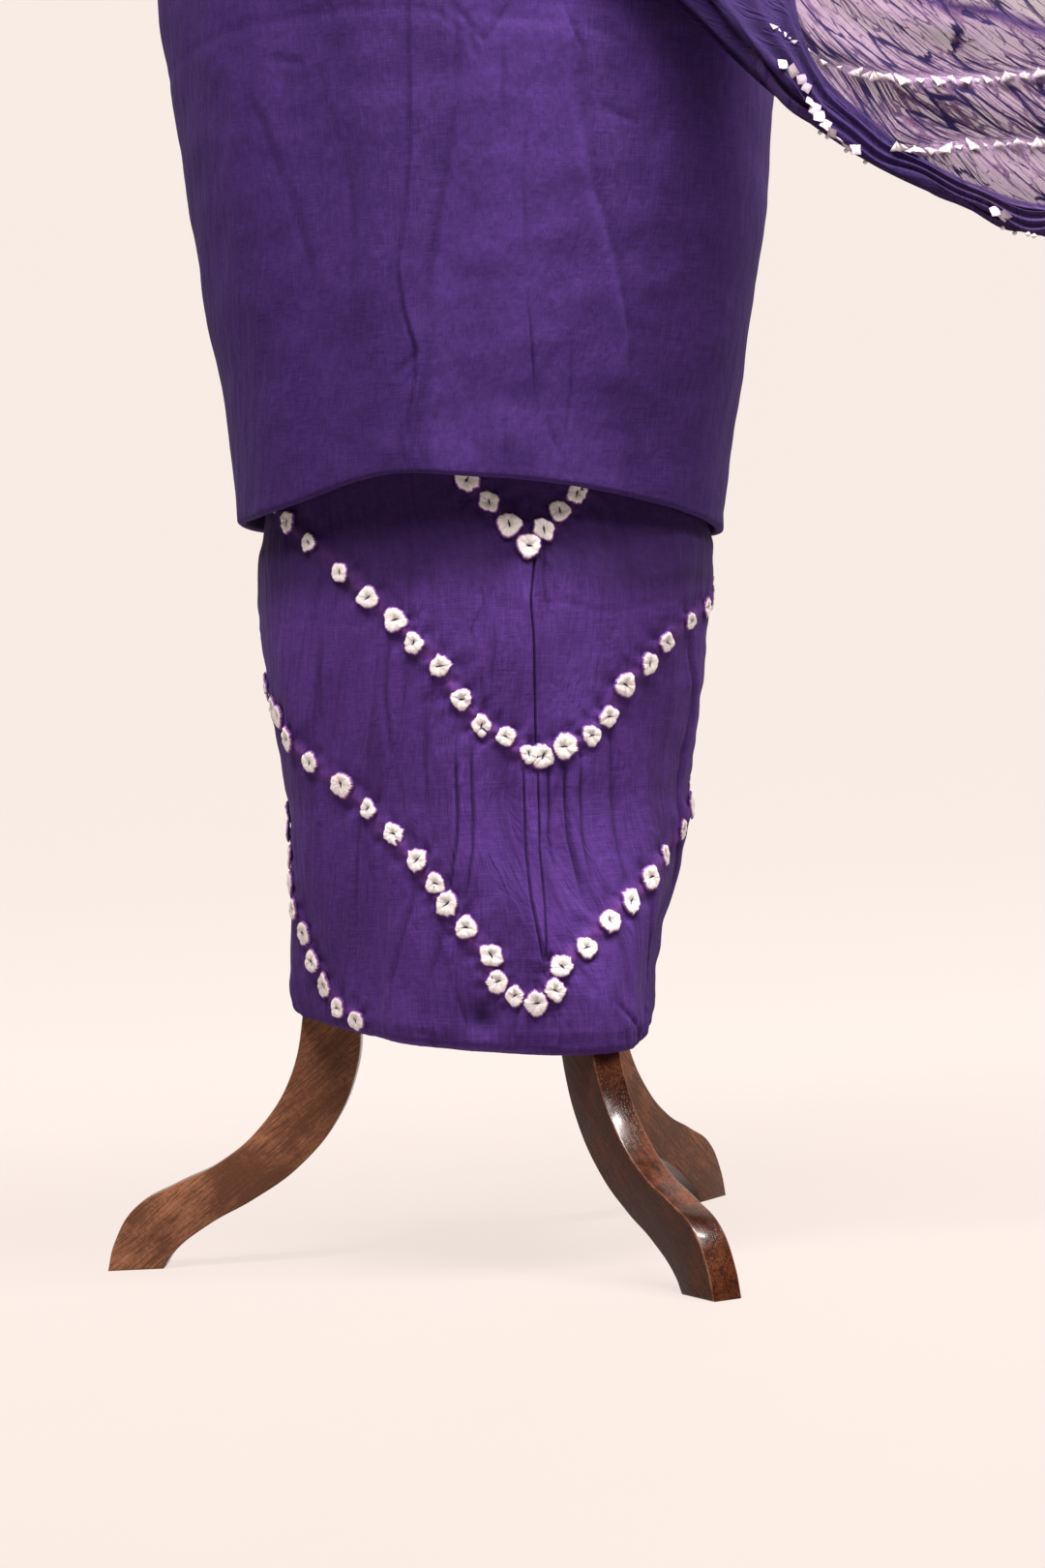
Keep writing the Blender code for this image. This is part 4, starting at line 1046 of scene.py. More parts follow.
def dots_on_bottom_cloth():
    points, normals = surface_points(bottom_cloth)
    x, y = points[:, 0] - STAND_X, points[:, 1] - STAND_Y
    azimuth, lifted = np.degrees(np.arctan2(y, x)), np.hypot(x, y)
    draw = np.random.default_rng(7)
    spots = []
    for degrees, height in (tie for line in TIED_LINES for tie in line):
        off = np.radians(round_angle(azimuth - degrees, 360)) * WRAP_RADIUS
        # Of two laps the outer one is taken
        nearest = np.argmin(off ** 2 + (points[:, 2] - height) ** 2 - 1e-4 * lifted)
        close = np.linalg.norm(points - points[nearest], axis=1) < 0.007
        normal = normals[close].mean(axis=0)
        normal /= np.linalg.norm(normal)
        place = points[nearest] + normal * TIE_LIFT
        spots.append((place, normal, draw.uniform(0, tau), draw.uniform(0.94, 1.18)))
    patterns = [tie_pattern(number) for number in range(TIE_KINDS)]
    return scatter("bandhani_tied_dots", spots, patterns, 11, tie_finish)


tie_finish = tied_white()
tied_dots = dots_on_bottom_cloth()
for piece in (bottom_cloth, tied_dots):
    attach(piece, "root")
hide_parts("bottom_cloth")

# Top cloth. Plain deep violet cotton wrapped over the bottom one from under the arms,
# with long soft folds and pressed creases, its hem rolled and turned in.
TOP_SECTIONS = (
    (0.480, 0.000, 0.160, 0.133), (0.540, 0.003, 0.166, 0.134), (0.580, 0.006, 0.172, 0.136),
    (0.620, 0.006, 0.179, 0.138), (0.660, 0.009, 0.185, 0.140), (0.740, 0.010, 0.194, 0.143),
    (0.820, 0.010, 0.202, 0.144), (0.900, 0.010, 0.199, 0.141), (1.000, 0.010, 0.168, 0.126),
    (1.070, 0.010, 0.149, 0.116), (1.140, 0.010, 0.152, 0.120), (1.220, 0.010, 0.163, 0.128),
    (1.285, 0.010, 0.1625, 0.1187),
)
TOP_HEM = (
    (-180, 0.487), (-152, 0.4885), (-138, 0.494), (-125, 0.501), (-112, 0.5045), (-90, 0.500),
    (-65, 0.493), (-35, 0.480), (0, 0.467), (45, 0.474), (90, 0.480), (135, 0.484), (180, 0.487),
)
TOP_FOLDS = (
    (-116, -113, 0.48, 1.10, 0.0055, 7), (-104, -106, 0.50, 0.92, 0.0035, 6),
    (-90, -84, 0.49, 0.86, 0.0030, 6), (-76, -79, 0.50, 1.02, 0.0050, 7),
    (-66, -52, 0.52, 0.84, 0.0045, 7), (-30, -24, 0.50, 1.00, 0.0035, 9),
    (-150, -146, 0.52, 1.04, 0.0035, 10), (8, 10, 0.48, 0.96, 0.0040, 9),
    (42, 38, 0.48, 1.06, 0.0050, 9), (66, 64, 0.50, 1.12, 0.0040, 8),
    (88, 92, 0.48, 1.10, 0.0055, 8), (164, 160, 0.50, 1.06, 0.0045, 9),
)
TOP_CREASES = (
    (0.0009, 0.45, 0.0016, 0.0004, (
        (-103.5, 0.860), (-103.7, 0.794), (-104.5, 0.758), (-105.2, 0.715), (-106.6, 0.672), (-108.4, 0.630),
        (-107.4, 0.600), (-105.4, 0.580), (-105.4, 0.560), (-107.2, 0.527))),
    (0.0006, 1.0, 0.0004, 0.0016, (
        (-94.0, 0.800), (-92.8, 0.770), (-93.4, 0.728), (-96.4, 0.690), (-99.2, 0.655), (-101.0, 0.618),
        (-102.0, 0.575), (-102.6, 0.540))),
    (0.0009, 0.4, 0.0003, 0.0005, ((-82.0, 0.768), (-82.4, 0.740), (-82.8, 0.712))),
    (0.0007, 0.5, 0.0004, 0.0006, ((-77.2, 0.712), (-78.6, 0.674), (-77.4, 0.628))),
    (0.0014, 0.35, 0.0005, 0.0009, ((-77.2, 0.602), (-76.4, 0.575), (-75.2, 0.548))),
    (0.0009, 0.5, 0.0005, 0.0004, ((-82.8, 0.532), (-82.6, 0.512), (-82.8, 0.500))),
    (0.0007, 1.6, 0.0002, 0.0022, (
        (-64.0, 0.780), (-64.2, 0.762), (-63.6, 0.715), (-60.8, 0.672), (-55.0, 0.630), (-51.0, 0.585),
        (-50.0, 0.545))),
    (0.0011, 0.5, 0.0006, 0.0006, ((-66.6, 0.784), (-64.9, 0.770), (-63.4, 0.758))),
    (0.0005, 1.1, 0.0006, 0.0002, ((-143.6, 0.752), (-139.7, 0.718), (-134.1, 0.661), (-131.0, 0.625))),
    (0.0008, 0.7, 0.0004, 0.0004, ((-109.4, 0.534), (-109.0, 0.516), (-109.3, 0.503))),
    (0.0008, 0.7, 0.0004, 0.0004, ((-103.1, 0.522), (-102.9, 0.509), (-103.2, 0.501))),
    (0.0008, 0.9, 0.0004, 0.0005, ((-121.0, 0.690), (-120.0, 0.650), (-121.4, 0.610))),
    (0.0008, 0.6, 0.0005, 0.0002, ((-66.2, 0.580), (-65.0, 0.550), (-65.6, 0.520))),
)
# Short creases across, most of them near the panel's top: azimuth and height of both ends
TOP_NICKS = (
    (-93.5, 0.790, -86.4, 0.766), (-86.4, 0.766, -79.5, 0.788), (-90.0, 0.776, -88.6, 0.758),
    (-98.0, 0.786, -93.0, 0.776), (-61.5, 0.772, -52.0, 0.766), (-110.0, 0.566, -104.6, 0.578),
    (-71.0, 0.530, -68.0, 0.512), (-59.0, 0.724, -50.0, 0.716), (-139.0, 0.770, -131.0, 0.764),
)
# Painted light on a band of the front between two long folds: its left and right side as azimuth and height
LIT_BAND_LEFT = (
    (-102.0, 0.500), (-101.0, 0.618), (-96.4, 0.690), (-93.0, 0.740), (-94.0, 0.800), (-95.0, 1.0))
LIT_BAND_RIGHT = (
    (-50.0, 0.500), (-51.0, 0.585), (-60.8, 0.672), (-64.0, 0.740), (-64.0, 0.780), (-66.0, 1.0))
TOP_START, TOP_TURN = -301.5, 384.5
TOP_LAP = 32.7
TOP_EDGE = 1.285
TOP_PRESS = 0.782
# What an angle is multiplied by for a length along this wider cloth
TOP_RADIUS = 0.185
HEM_ROLL = 0.0031
HEM_RETURN = 0.045


def plain_violet():
    material, tree, shader = cotton("plain violet cotton", (0.50, 0.38, 0.85), 0.10)
    place = cloth_spot(tree)
    weave, cloud = woven(tree, place, 0.0006, 0.075)
    colour = mix_colour(tree, cloud["Cloud"], (0.0268, 0.0088, 0.069), (0.0365, 0.0125, 0.090))
    colour = laid_over(
        # painted light on a band of the front
        tree, colour, (mesh_value(tree, "panel"), 1.0, (0.0480, 0.0185, 0.124)),
        (weave["Slub"], 0.65, (0.064, 0.0265, 0.156)), (cloud["Fleck"], 0.30, (0.020, 0.007, 0.052)),
        # painted shade in the creases
        (mesh_value(tree, "crease"), 0.40, (0.012, 0.005, 0.030)))
    crinkle = noise_map(tree, place, 1.0, 4.0, 0.6, stretch=(90, 30, 1), flat=True)
    finish_cotton(tree, shader, weave, colour, bumped(tree, crinkle, 0.0032, 0.6))
    return material


def violet_wrap():
    """The wrapped cloth as a grid: its wall, the roll of its hem and the part turned in."""
    degrees = cloth_columns((
        (TOP_START, -205, 1.8), (-205, -115, 0.8), (-115, -50, 0.45), (-50, 20, 0.8),
        (20, TOP_START + TOP_TURN, 1.8)))
    azimuth = np.radians(degrees)
    foot = curve_at(TOP_HEM, round_angle(degrees, 360))[:, 0] + HEM_ROLL
    share = np.concatenate([np.linspace(0, 0.555, 52)[:-1], np.linspace(0.555, 1, 138)])
    height = TOP_EDGE + (foot[None, :] - TOP_EDGE) * share[:, None]
    turn_deg = np.broadcast_to(degrees, height.shape)
    turn = np.radians(turn_deg)
    centre_x, wide, deep = np.moveaxis(curve_at(TOP_SECTIONS, height), -1, 0)
    plain = oval_radius(wide, deep, turn)
    around = plain * turn
    lap_start = TOP_START + TOP_TURN - TOP_LAP
    lap = LAP_LIFT * smooth(lap_start - TOP_LAP, lap_start + 8, turn_deg)

    # Creases, the line across and the band of painted light
    crease, mask = crease_marks(TOP_CREASES, turn_deg, height)
    for first_deg, first_height, last_deg, last_height in TOP_NICKS:
        right, up = TOP_RADIUS * np.radians(turn_deg - first_deg), height - first_height
        off, place = off_segment(
            right, up, TOP_RADIUS * radians(last_deg - first_deg), last_height - first_height)
        nick = bell(off / 0.0022) * (0.3 + 0.7 * np.sin(pi * (0.1 + 0.8 * place)))
        # The short creases are darkened with the long ones, as painted shade
        crease, mask = crease - 0.0009 * nick, np.maximum(mask, 0.5 * nick)
    press = bell((height - TOP_PRESS - 0.010 * np.sin(turn * 2.1)) / 0.0035)
    left_side, right_side = (np.interp(height, *zip(*[row[::-1] for row in line]))
                             for line in (LIT_BAND_LEFT, LIT_BAND_RIGHT))
    panel = smooth(-2.5, 2.5, turn_deg - left_side) * (1 - smooth(-3.0, 2.0, turn_deg - right_side))

    # Crinkles and slack of the cloth, and the flare of its hem in front
    crinkle = rough_field(around * 24, height * 9, 13.0, 3, ridged=True)
    sway = rough_field(around * 8, height * 5, 2.2, 2)
    slack = rough_field(around * 16, height * 30, 44.0, 2)
    shown = 1 - smooth(1.20, 1.285, height)
    radius = plain + fold_rise(TOP_FOLDS, turn, height) + lap + crease - 0.0005 * press
    radius = radius + shown * (0.0011 * crinkle + 0.0030 * sway + 0.0010 * slack)
    flare = bell((turn_deg + 86) / 26) * (1 - smooth(0.0, 0.050, height - foot))
    radius = radius + 0.0022 * flare

    turned = []
    for bend in np.radians(np.linspace(18, 180, 10)):
        reach = radius[-1] - HEM_ROLL * (1 - cos(bend))
        turned.append(about_stand(centre_x[-1], reach, azimuth, foot - HEM_ROLL * sin(bend)))
    for step in np.linspace(0.12, 1, 8):
        reach = radius[-1] - 2 * HEM_ROLL
        turned.append(about_stand(centre_x[-1], reach, azimuth, foot + HEM_RETURN * step))
    cloth = cloth_from_rows(
        "violet_top_cloth", about_stand(centre_x, radius, turn, height), turned, around, height, foot,
        plain_violet())
    put_attributes(cloth, crease=np.clip(carried_on(mask, len(turned), 0), 0, 1),
                   panel=0.7 * carried_on(panel, len(turned)))
    return cloth


top_cloth = violet_wrap()
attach(top_cloth, "root")
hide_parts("top_cloth")

# Dupatta. One long sheer cotton chiffon, crinkled, laid in five folds over the shoulder
# and across the front, opening into a swag at the side and gathered to a tied end.
# Stations along it, from the back: lower and upper edge in x, y and z from the stand's axis,
# the share of the width that the strip's folds take, and how free it hangs (0 to 1).
DUPATTA_STATIONS = (
    ((-0.165, 0.130, 0.600), (-0.015, 0.160, 0.622), 1.00, 0.0),
    ((-0.160, 0.120, 0.780), (-0.015, 0.155, 0.790), 1.00, 0.0),
    ((-0.160, 0.110, 0.980), (-0.020, 0.150, 0.985), 1.00, 0.0),
    ((-0.162, 0.105, 1.190), (-0.034, 0.135, 1.190), 1.00, 0.0),
    ((-0.156, 0.065, 1.335), (-0.045, 0.080, 1.350), 1.00, 0.0),
    ((-0.142, 0.000, 1.372), (-0.050, 0.000, 1.418), 1.00, 0.0),
    ((-0.154, -0.060, 1.335), (-0.043, -0.080, 1.350), 1.00, 0.0),
    ((-0.142, -0.125, 1.195), (-0.010, -0.140, 1.235), 1.00, 0.0),
    ((-0.088, -0.135, 1.050), (0.052, -0.135, 1.108), 1.00, 0.0),
    ((-0.010, -0.135, 0.930), (0.122, -0.125, 1.000), 1.00, 0.0),
    ((0.072, -0.140, 0.842), (0.184, -0.105, 0.920), 1.00, 0.0),
    ((0.136, -0.135, 0.787), (0.226, -0.110, 0.856), 0.80, 0.1),
    ((0.196, -0.140, 0.725), (0.262, -0.130, 0.800), 0.32, 0.5),
    ((0.250, -0.145, 0.681), (0.300, -0.140, 0.776), 0.18, 0.9),
    ((0.306, -0.145, 0.651), (0.335, -0.140, 0.768), 0.12, 1.0),
    ((0.358, -0.140, 0.630), (0.366, -0.135, 0.756), 0.14, 1.0),
    ((0.407, -0.135, 0.636), (0.405, -0.130, 0.749), 0.20, 1.0),
    ((0.446, -0.130, 0.676), (0.445, -0.125, 0.743), 0.50, 1.0),
    ((0.472, -0.125, 0.716), (0.474, -0.125, 0.738), 1.00, 1.0),
    ((0.486, -0.125, 0.694), (0.504, -0.125, 0.706), 1.00, 1.0),
    ((0.490, -0.130, 0.615), (0.545, -0.125, 0.632), 1.00, 1.0),
)
STATION_STEPS = 14
# The back two folds stand a little beyond the selvedge where the cloth swags
BEYOND = ((11.5, 0.0), (13, 0.14), (14, 0.19), (15, 0.23), (16, 0.18), (17.5, 0.0))
# Where the cloth turns back on itself, as shares of its laid width
PLEAT_EDGES = (0.00, 1.00, 0.04, 0.95, 0.18, 0.80)
# Soft folds along the cloth: share of its width, half width as a share, height
LONG_FOLDS = ((0.20, 0.07, 0.0042), (0.47, 0.08, 0.0050), (0.77, 0.06, 0.0040))
# The two tied lines across the swag, in x and z from the stand's axis, with each tie's size
POINTED_TIES = (
    ((0.1976, 0.7656, 0.5), (0.2045, 0.7605, 0.35), (0.2097, 0.7560, 0.45), (0.2277, 0.7438, 0.5),
     (0.2464, 0.7356, 1.0), (0.2594, 0.7308, 1.0), (0.2743, 0.7288, 1.05), (0.2963, 0.7271, 1.0),
     (0.3137, 0.7268, 0.95), (0.3275, 0.7273, 0.6), (0.3407, 0.7279, 1.0), (0.3611, 0.7292, 1.0)),
    ((0.2703, 0.6853, 0.9), (0.2816, 0.6842, 1.05), (0.2984, 0.6851, 1.1), (0.3159, 0.6872, 1.0),
     (0.3326, 0.6864, 0.6), (0.3453, 0.6875, 0.6), (0.3590, 0.6862, 1.0)),
)
# Upper side of the folded strip along the lower edge
STRIP_EDGE = (
    (0.2076, 0.7490), (0.2157, 0.7330), (0.2410, 0.7108), (0.2662, 0.6885), (0.2827, 0.6697),
    (0.3219, 0.6504), (0.3604, 0.6431),
)
# The small squares on the strip and the knots under it, placed in the same way
RIBBON_TIES = (
    ((0.2018, 0.7415), (0.2127, 0.7313), (0.2154, 0.7258), (0.2174, 0.7173), (0.2223, 0.7081),
     (0.2295, 0.6970), (0.2381, 0.6882), (0.2480, 0.6835)),
    ((0.3270, 0.6447), (0.3328, 0.6415), (0.3393, 0.6387)),
)
EDGE_KNOTS = (
    (0.2227, 0.7010), (0.2276, 0.6947), (0.2380, 0.6870), (0.2479, 0.6811),
    (0.3340, 0.6360), (0.3402, 0.6333), (0.3455, 0.6310), (0.3502, 0.6298),
)
# Up to the first x the cloth lies dense on the form, and thins out to the second
DENSE_UNTIL = (0.178, 0.194)
# Only right of this x does the lower tied line bound the wrinkles, and not the strip
LOWER_TIES_FROM = 0.268
# How many lengths and widths of a wrinkle go into a metre of the swag
WRINKLES_ALONG, WRINKLES_ACROSS = 11, 74
PLEAT_COLUMNS = (56, 44, 22, 22, 22)
PLEAT_PITCH = 0.0034
DUPATTA_CLEARANCE, SHOULDER_CLEARANCE = 0.0085, 0.0075
SHOULDER_HEIGHT = 1.300
SHOULDER_EASE, SLOPE_EASE = (1.270, 1.340), (1.300, 1.370)
NECK_TOP = 1.450


def dressed_section(height):
    """Centre x, half width and half depth of the dressed form at each height."""
    top = curve_at(TOP_SECTIONS, height)
    table = np.array(FORM_SECTIONS)
    bare = np.stack([np.interp(height, table[:, 0], table[:, k]) for k in (1, 2, 3)], axis=-1)
    return np.moveaxis(np.where((height <= TOP_EDGE)[..., None], top, bare), -1, 0)


def within_dressed_form(points, clearance):
    x, y, z = np.moveaxis(points, -1, 0)
    drop = clearance * smooth(*SLOPE_EASE, z)
    centre_x, wide, deep = dressed_section(z - drop)
    azimuth = np.arctan2(y, x - centre_x)
    reach = oval_radius(wide, deep, azimuth) + clearance
    reach = reach + np.where(z <= TOP_EDGE, fold_rise(TOP_FOLDS, azimuth, z), 0)
    return (np.hypot(x - centre_x, y) < reach) & (z <= NECK_TOP)


def laid_on_form(points):
    """Each point, or the nearest place outwards that clears the dressed form."""
    height = np.minimum(points[..., 2], SHOULDER_HEIGHT)
    centre_x, wide, deep = dressed_section(height)
    spare = wide - 0.9 * deep
    heart_x = centre_x + np.clip(points[..., 0] - centre_x, -spare, spare)
    heart = np.stack([heart_x, np.zeros_like(heart_x), height], axis=-1)
    away = points - heart
    reach = np.linalg.norm(away, axis=-1)
    away /= reach[..., None]
    lying = smooth(*SHOULDER_EASE, points[..., 2])
    clearance = DUPATTA_CLEARANCE + (SHOULDER_CLEARANCE - DUPATTA_CLEARANCE) * lying
    low, high = reach.copy(), np.full(reach.shape, 0.4)
    for _ in range(22):
        middle = (low + high) / 2
        covered = within_dressed_form(heart + away * middle[..., None], clearance)
        low, high = np.where(covered, middle, low), np.where(covered, high, middle)
    covered = within_dressed_form(points, clearance)
    return np.where(covered[..., None], heart + away * high[..., None], points), away


def sheer_chiffon():
    material, tree, shader = new_finish(
        "violet chiffon", 0.75, Specular_IOR_Level=0.15, Sheen_Weight=0.03, Sheen_Roughness=0.4)
    weave, cloud = woven(tree, cloth_spot(tree), 0.0009, 0.035)
    crinkled, dense, drawn_in, thin, undyed = (
        mesh_value(tree, name) for name in ("crinkle", "dense", "drawn_in", "thin", "undyed"))
    pulled = mesh_value(tree, "pull_place", "Vector")
    bent = pulled
    for scale, amount in ((0.7, 0.42), (2.6, 0.14), (8.0, 0.07)):
        drift = add_node(tree, "ShaderNodeTexNoise", {
            "Vector": pulled, "Scale": scale, "Detail": 1.0, "Roughness": 0.5}, noise_dimensions="2D")
        centred = vector_maths(tree, "SUBTRACT", drift.outputs["Color"], (0.5, 0.5, 0.5))
        bent = vector_maths(tree, "MULTIPLY_ADD", centred, (amount, amount, 0), bent)
    # Two sizes of dark wrinkles, wider where the ties draw the cloth in
    patches = noise_map(tree, pulled, 1.3, 2.0, 0.6, flat=True)
    crowding = maths(tree, "MULTIPLY_ADD", drawn_in, 0.28, patches)
    wrinkles = []
    for scale, thinnest, thickest in ((1.0, 0.016, 0.120), (2.3, 0.003, 0.125)):
        network = add_node(tree, "ShaderNodeTexVoronoi", {
            "Vector": bent, "Scale": scale, "Randomness": 1.0},
            voronoi_dimensions="2D", feature="DISTANCE_TO_EDGE").outputs["Distance"]
        width = ease_map(tree, crowding, 0.40, 0.72, thinnest, thickest)
        share = maths(tree, "DIVIDE", network, maths(tree, "MAXIMUM", width, 0.004))
        wrinkles.append(ease_map(tree, share, 0.35, 1.0, 1.0, 0.0))
    vein = maths(tree, "MAXIMUM", wrinkles[0], maths(tree, "MULTIPLY", wrinkles[1], 0.75))
    colour = laid_over(
        tree, (0.140, 0.052, 0.155), (weave["Slub"], 0.9, (0.340, 0.215, 0.310)),
        (cloud["Cloud"], 0.20, (0.090, 0.030, 0.150)), (vein, 1.0, (0.010, 0.0026, 0.040)),
        (undyed, 1.0, (0.44, 0.30, 0.46)), (dense, 1.0, (0.022, 0.0070, 0.066)))
    alpha = ease_map(tree, weave["Height"], 0.2, 1.1, 0.32, 0.52)
    alpha = maths(tree, "MULTIPLY", alpha, maths(tree, "MULTIPLY_ADD", thin, -0.35, 1.0))
    for mask, added in ((vein, 0.62), (undyed, 0.35), (crinkled, 0.10), (dense, 0.6)):
        alpha = maths(tree, "MULTIPLY_ADD", mask, added, alpha, clamp=mask is dense)
    raised = bumped(tree, vein, 0.0012, 0.6)
    feed(tree, shader, Base_Color=colour, Alpha=alpha,
         Normal=bumped(tree, weave["Height"], 0.0002, 0.5, raised))
    return material


def fold_columns():
    """For each column its share of the laid width, its layer, and how far a bend stands out."""
    columns = []
    for k, (start, end, count) in enumerate(zip(PLEAT_EDGES, PLEAT_EDGES[1:], PLEAT_COLUMNS)):
        columns += [(share, k, 0.0) for share in np.linspace(start, end, count)]
        if k + 1 < len(PLEAT_COLUMNS):
            way = 1 if end > start else -1
            for bend in (0.25 * pi, 0.5 * pi, 0.75 * pi):
                columns.append((end, k + (1 - cos(bend)) / 2, sin(bend) * way))
    return np.array(columns).T


def pleated_dupatta():
    """Five folds laid one on the other, each a stretch of the cloth's width."""
    table = [(n, *low, *up, *rest) for n, (low, up, *rest) in enumerate(DUPATTA_STATIONS)]
    stations = np.linspace(0, len(table) - 1, (len(table) - 1) * STATION_STEPS + 1)
    values = curve_at(table, stations)
    low, up, strip, free = values[:, 0:3], values[:, 3:6], values[:, 6], values[:, 7]
    across, layer, turn_out = fold_columns()
    wander = 0.6 * np.sin(stations[:, None] * 3.1 + 2.3 * layer)
    wander = wander + 0.4 * np.sin(stations[:, None] * 7.9 + 5.1 * layer)
    wander = 0.26 * free[:, None] * wander * smooth(1.4, 2.0, layer) * (1 - 0.8 * across)
    reach = 1 + (strip[:, None] - 1) * smooth(1.0, 1.6, layer)[None, :]
    beyond = np.interp(stations, *zip(*BEYOND))[:, None] * (1 - smooth(1.0, 1.6, layer))[None, :]
    share = (across[None, :] + wander) * (reach + beyond)
    width = up - low
    flat = low[:, None, :] + width[:, None, :] * share[..., None]
    unit = width / np.linalg.norm(width, axis=1)[:, None]
    flat = flat + unit[:, None, :] * (turn_out * PLEAT_PITCH / 2)[None, :, None]
    base, away = laid_on_form(flat)
    lift = (1 - free)[:, None, None] * away + free[:, None, None] * np.array([0.0, -1.0, 0.0])
    lift = lift / np.linalg.norm(lift, axis=-1)[..., None]
    step = np.linalg.norm(np.diff((low + up) / 2, axis=0), axis=1)
    along = np.concatenate([[0], np.cumsum(step)])
    u = np.broadcast_to(along[:, None], share.shape)
    v = share * np.linalg.norm(width, axis=1)[:, None]

    # The wrinkles run between the tied lines and the strip, crowding towards them
    beside = base[..., 0]
    upper, lower = (np.interp(beside, *np.array(line)[:, :2].T) for line in POINTED_TIES)
    strip_top = np.interp(beside, *zip(*STRIP_EDGE))
    lower = np.where(beside < LOWER_TIES_FROM, strip_top, lower)
    level = base[..., 2]
    under = np.where(level > upper, upper, np.where(level > lower, lower, strip_top))
    over = np.maximum(level - under, 0.0008)
    across_pull = beside + (over + 0.010 * np.log(over / 0.010)) / 1.2
    band = 4.0 * (level > upper) + 9.0 * (level > lower)
    pull_u = (beside - over) * WRINKLES_ALONG + layer * 3.1 + band
    pull_v = across_pull * WRINKLES_ACROSS + layer * 1.7
    pull = np.stack([pull_u, pull_v, np.zeros(over.shape)], axis=-1)
    crinkle = rough_field(pull_u * 1.6, pull_v * 0.8, 31.0, 2, ridged=True)

    # How far each fold stands off the form, with its crinkles and the soft folds along it
    sway = rough_field(u * 11, v * 22, 5.0, 2)
    loose = (0.05 + 0.95 * free)[:, None] * smooth(0, 0.03, v + 0.004)
    rise = PLEAT_PITCH * (1 - 0.45 * free[:, None]) * layer[None, :] + loose * 0.0011 * crinkle
    rise = rise + free[:, None] * 0.0045 * sway * smooth(0.1, 0.5, share)
    for middle, half_width, height in LONG_FOLDS:
        fold = bell((across[None, :] - middle + 0.05 * np.sin(along * 9)[:, None]) / half_width)
        rise = rise + height * (1 - 0.5 * free)[:, None] * fold
    points = base + lift * rise[..., None] + np.array(on_stand(0, 0, 0))
    faces = grid_faces(*points.shape[:2])
    dupatta = lay_mesh("chiffon_dupatta", points.reshape(-1, 3), faces, sheer_chiffon())
    put_cloth_place(dupatta, u + layer * 0.37, v)

    # Where the cloth lies dense, is drawn in by the ties or was kept from the dye
    gathered = 1 - smooth(*DENSE_UNTIL, points[..., 0] - STAND_X)
    selvedge = free[:, None] * bell((share - 1.0) / 0.032) * (layer < 1.5)[None, :]
    strip_share = smooth(1.9, 2.2, layer)[None, :] * (0.98 - 0.12 * smooth(0.27, 0.33, beside))
    under_strip = 0.92 * (1 - smooth(-0.003, 0.002, level - strip_top))
    under_strip = under_strip * (1 - smooth(0.36, 0.40, beside)) * (beside > 0.17)
    dense = np.maximum(gathered, np.maximum(strip_share, under_strip)) + selvedge
    drawn_in = np.maximum(*(bell((level - line - 0.006) / 0.009) for line in (upper, lower)))
    between = smooth(lower - 0.004, lower + 0.004, level) * (1 - smooth(upper - 0.004, upper + 0.004, level))
    undyed = np.maximum(bell((level - upper) / 0.0024) * smooth(0.228, 0.246, beside),
                        bell((level - lower) / 0.0024) * smooth(0.266, 0.272, beside))
    put_attributes(
        dupatta, crinkle=np.clip(crinkle, 0, 1) ** 3, dense=np.clip(dense, 0, 1),
        thin=smooth(1.0, 1.03, share), pull_place=pull,
        drawn_in=np.clip(drawn_in + 0.85 * between, 0, 1), undyed=undyed * (layer < 1.8))
    return dupatta


dupatta = pleated_dupatta()

# Ties of the dupatta. Pinches of the chiffon that were bound while it was dyed and then
# undone: white points along two lines, small squares on the strip, and knots under it.
PENNANT_WIDTH, PENNANT_DROP = 0.0062, 0.0046
SQUARE_HALF, SQUARE_SPACING = 0.0033, 0.0062
KNOT_RADIUS = 0.0017


def square_pattern(number):
    """One small folded square: four slopes round an off-centre peak."""
    draw = np.random.default_rng(90 + number)
    peak = draw.uniform(-0.4, 0.4, 2) * SQUARE_HALF
    points = [(*peak, 0.0009)]
    for a, b in ((-1, -1), (0, -1.05), (1, -1), (1.05, 0), (1, 1), (0, 1.05), (-1, 1), (-1.05, 0)):
        x = a * SQUARE_HALF * draw.uniform(0.85, 1.1)
        points.append((x, b * SQUARE_HALF * draw.uniform(0.85, 1.1), 0.0))
    faces = [(0, 1 + i, 1 + (i + 1) % 8) for i in range(8)]
    pattern = lay_mesh(f"square_pattern_{number}", points, faces, square_finish)
    put_attributes(pattern, rim=[0.3, *[0.8] * 8])
    return pattern


def pennant_pattern(number):
    """One tied point, undone: narrow folds fanning from the tied line to a blunt tip."""
    draw = np.random.default_rng(120 + number)
    tip_x = draw.uniform(-0.35, 0.35) * PENNANT_WIDTH
    points, rim = [], []
    for row, (spread, drop) in enumerate(((1.0, 0.35), (0.85, 0.0), (0.5, -0.55), (0.12, -1.0))):
        for i in range(7):
            side = (i - 3) / 3
            x = side * PENNANT_WIDTH * spread * draw.uniform(0.9, 1.1) + tip_x * (0.35 - drop) / 1.35
            y = drop * PENNANT_DROP * (1 - 0.25 * abs(side)) + draw.uniform(-0.0003, 0.0003)
            lift = (0.0015 if i % 2 else 0.0004) * (0.5, 1.0, 0.9, 0.4)[row]
            points.append((x, y, lift))
            rim.append((1.0, 0.2, 0.0, 0.3)[row] + 0.4 * (abs(side) > 0.9))
    pattern = lay_mesh(f"pennant_pattern_{number}", points, grid_faces(4, 7), square_finish)
    put_attributes(pattern, rim=rim)
    return pattern


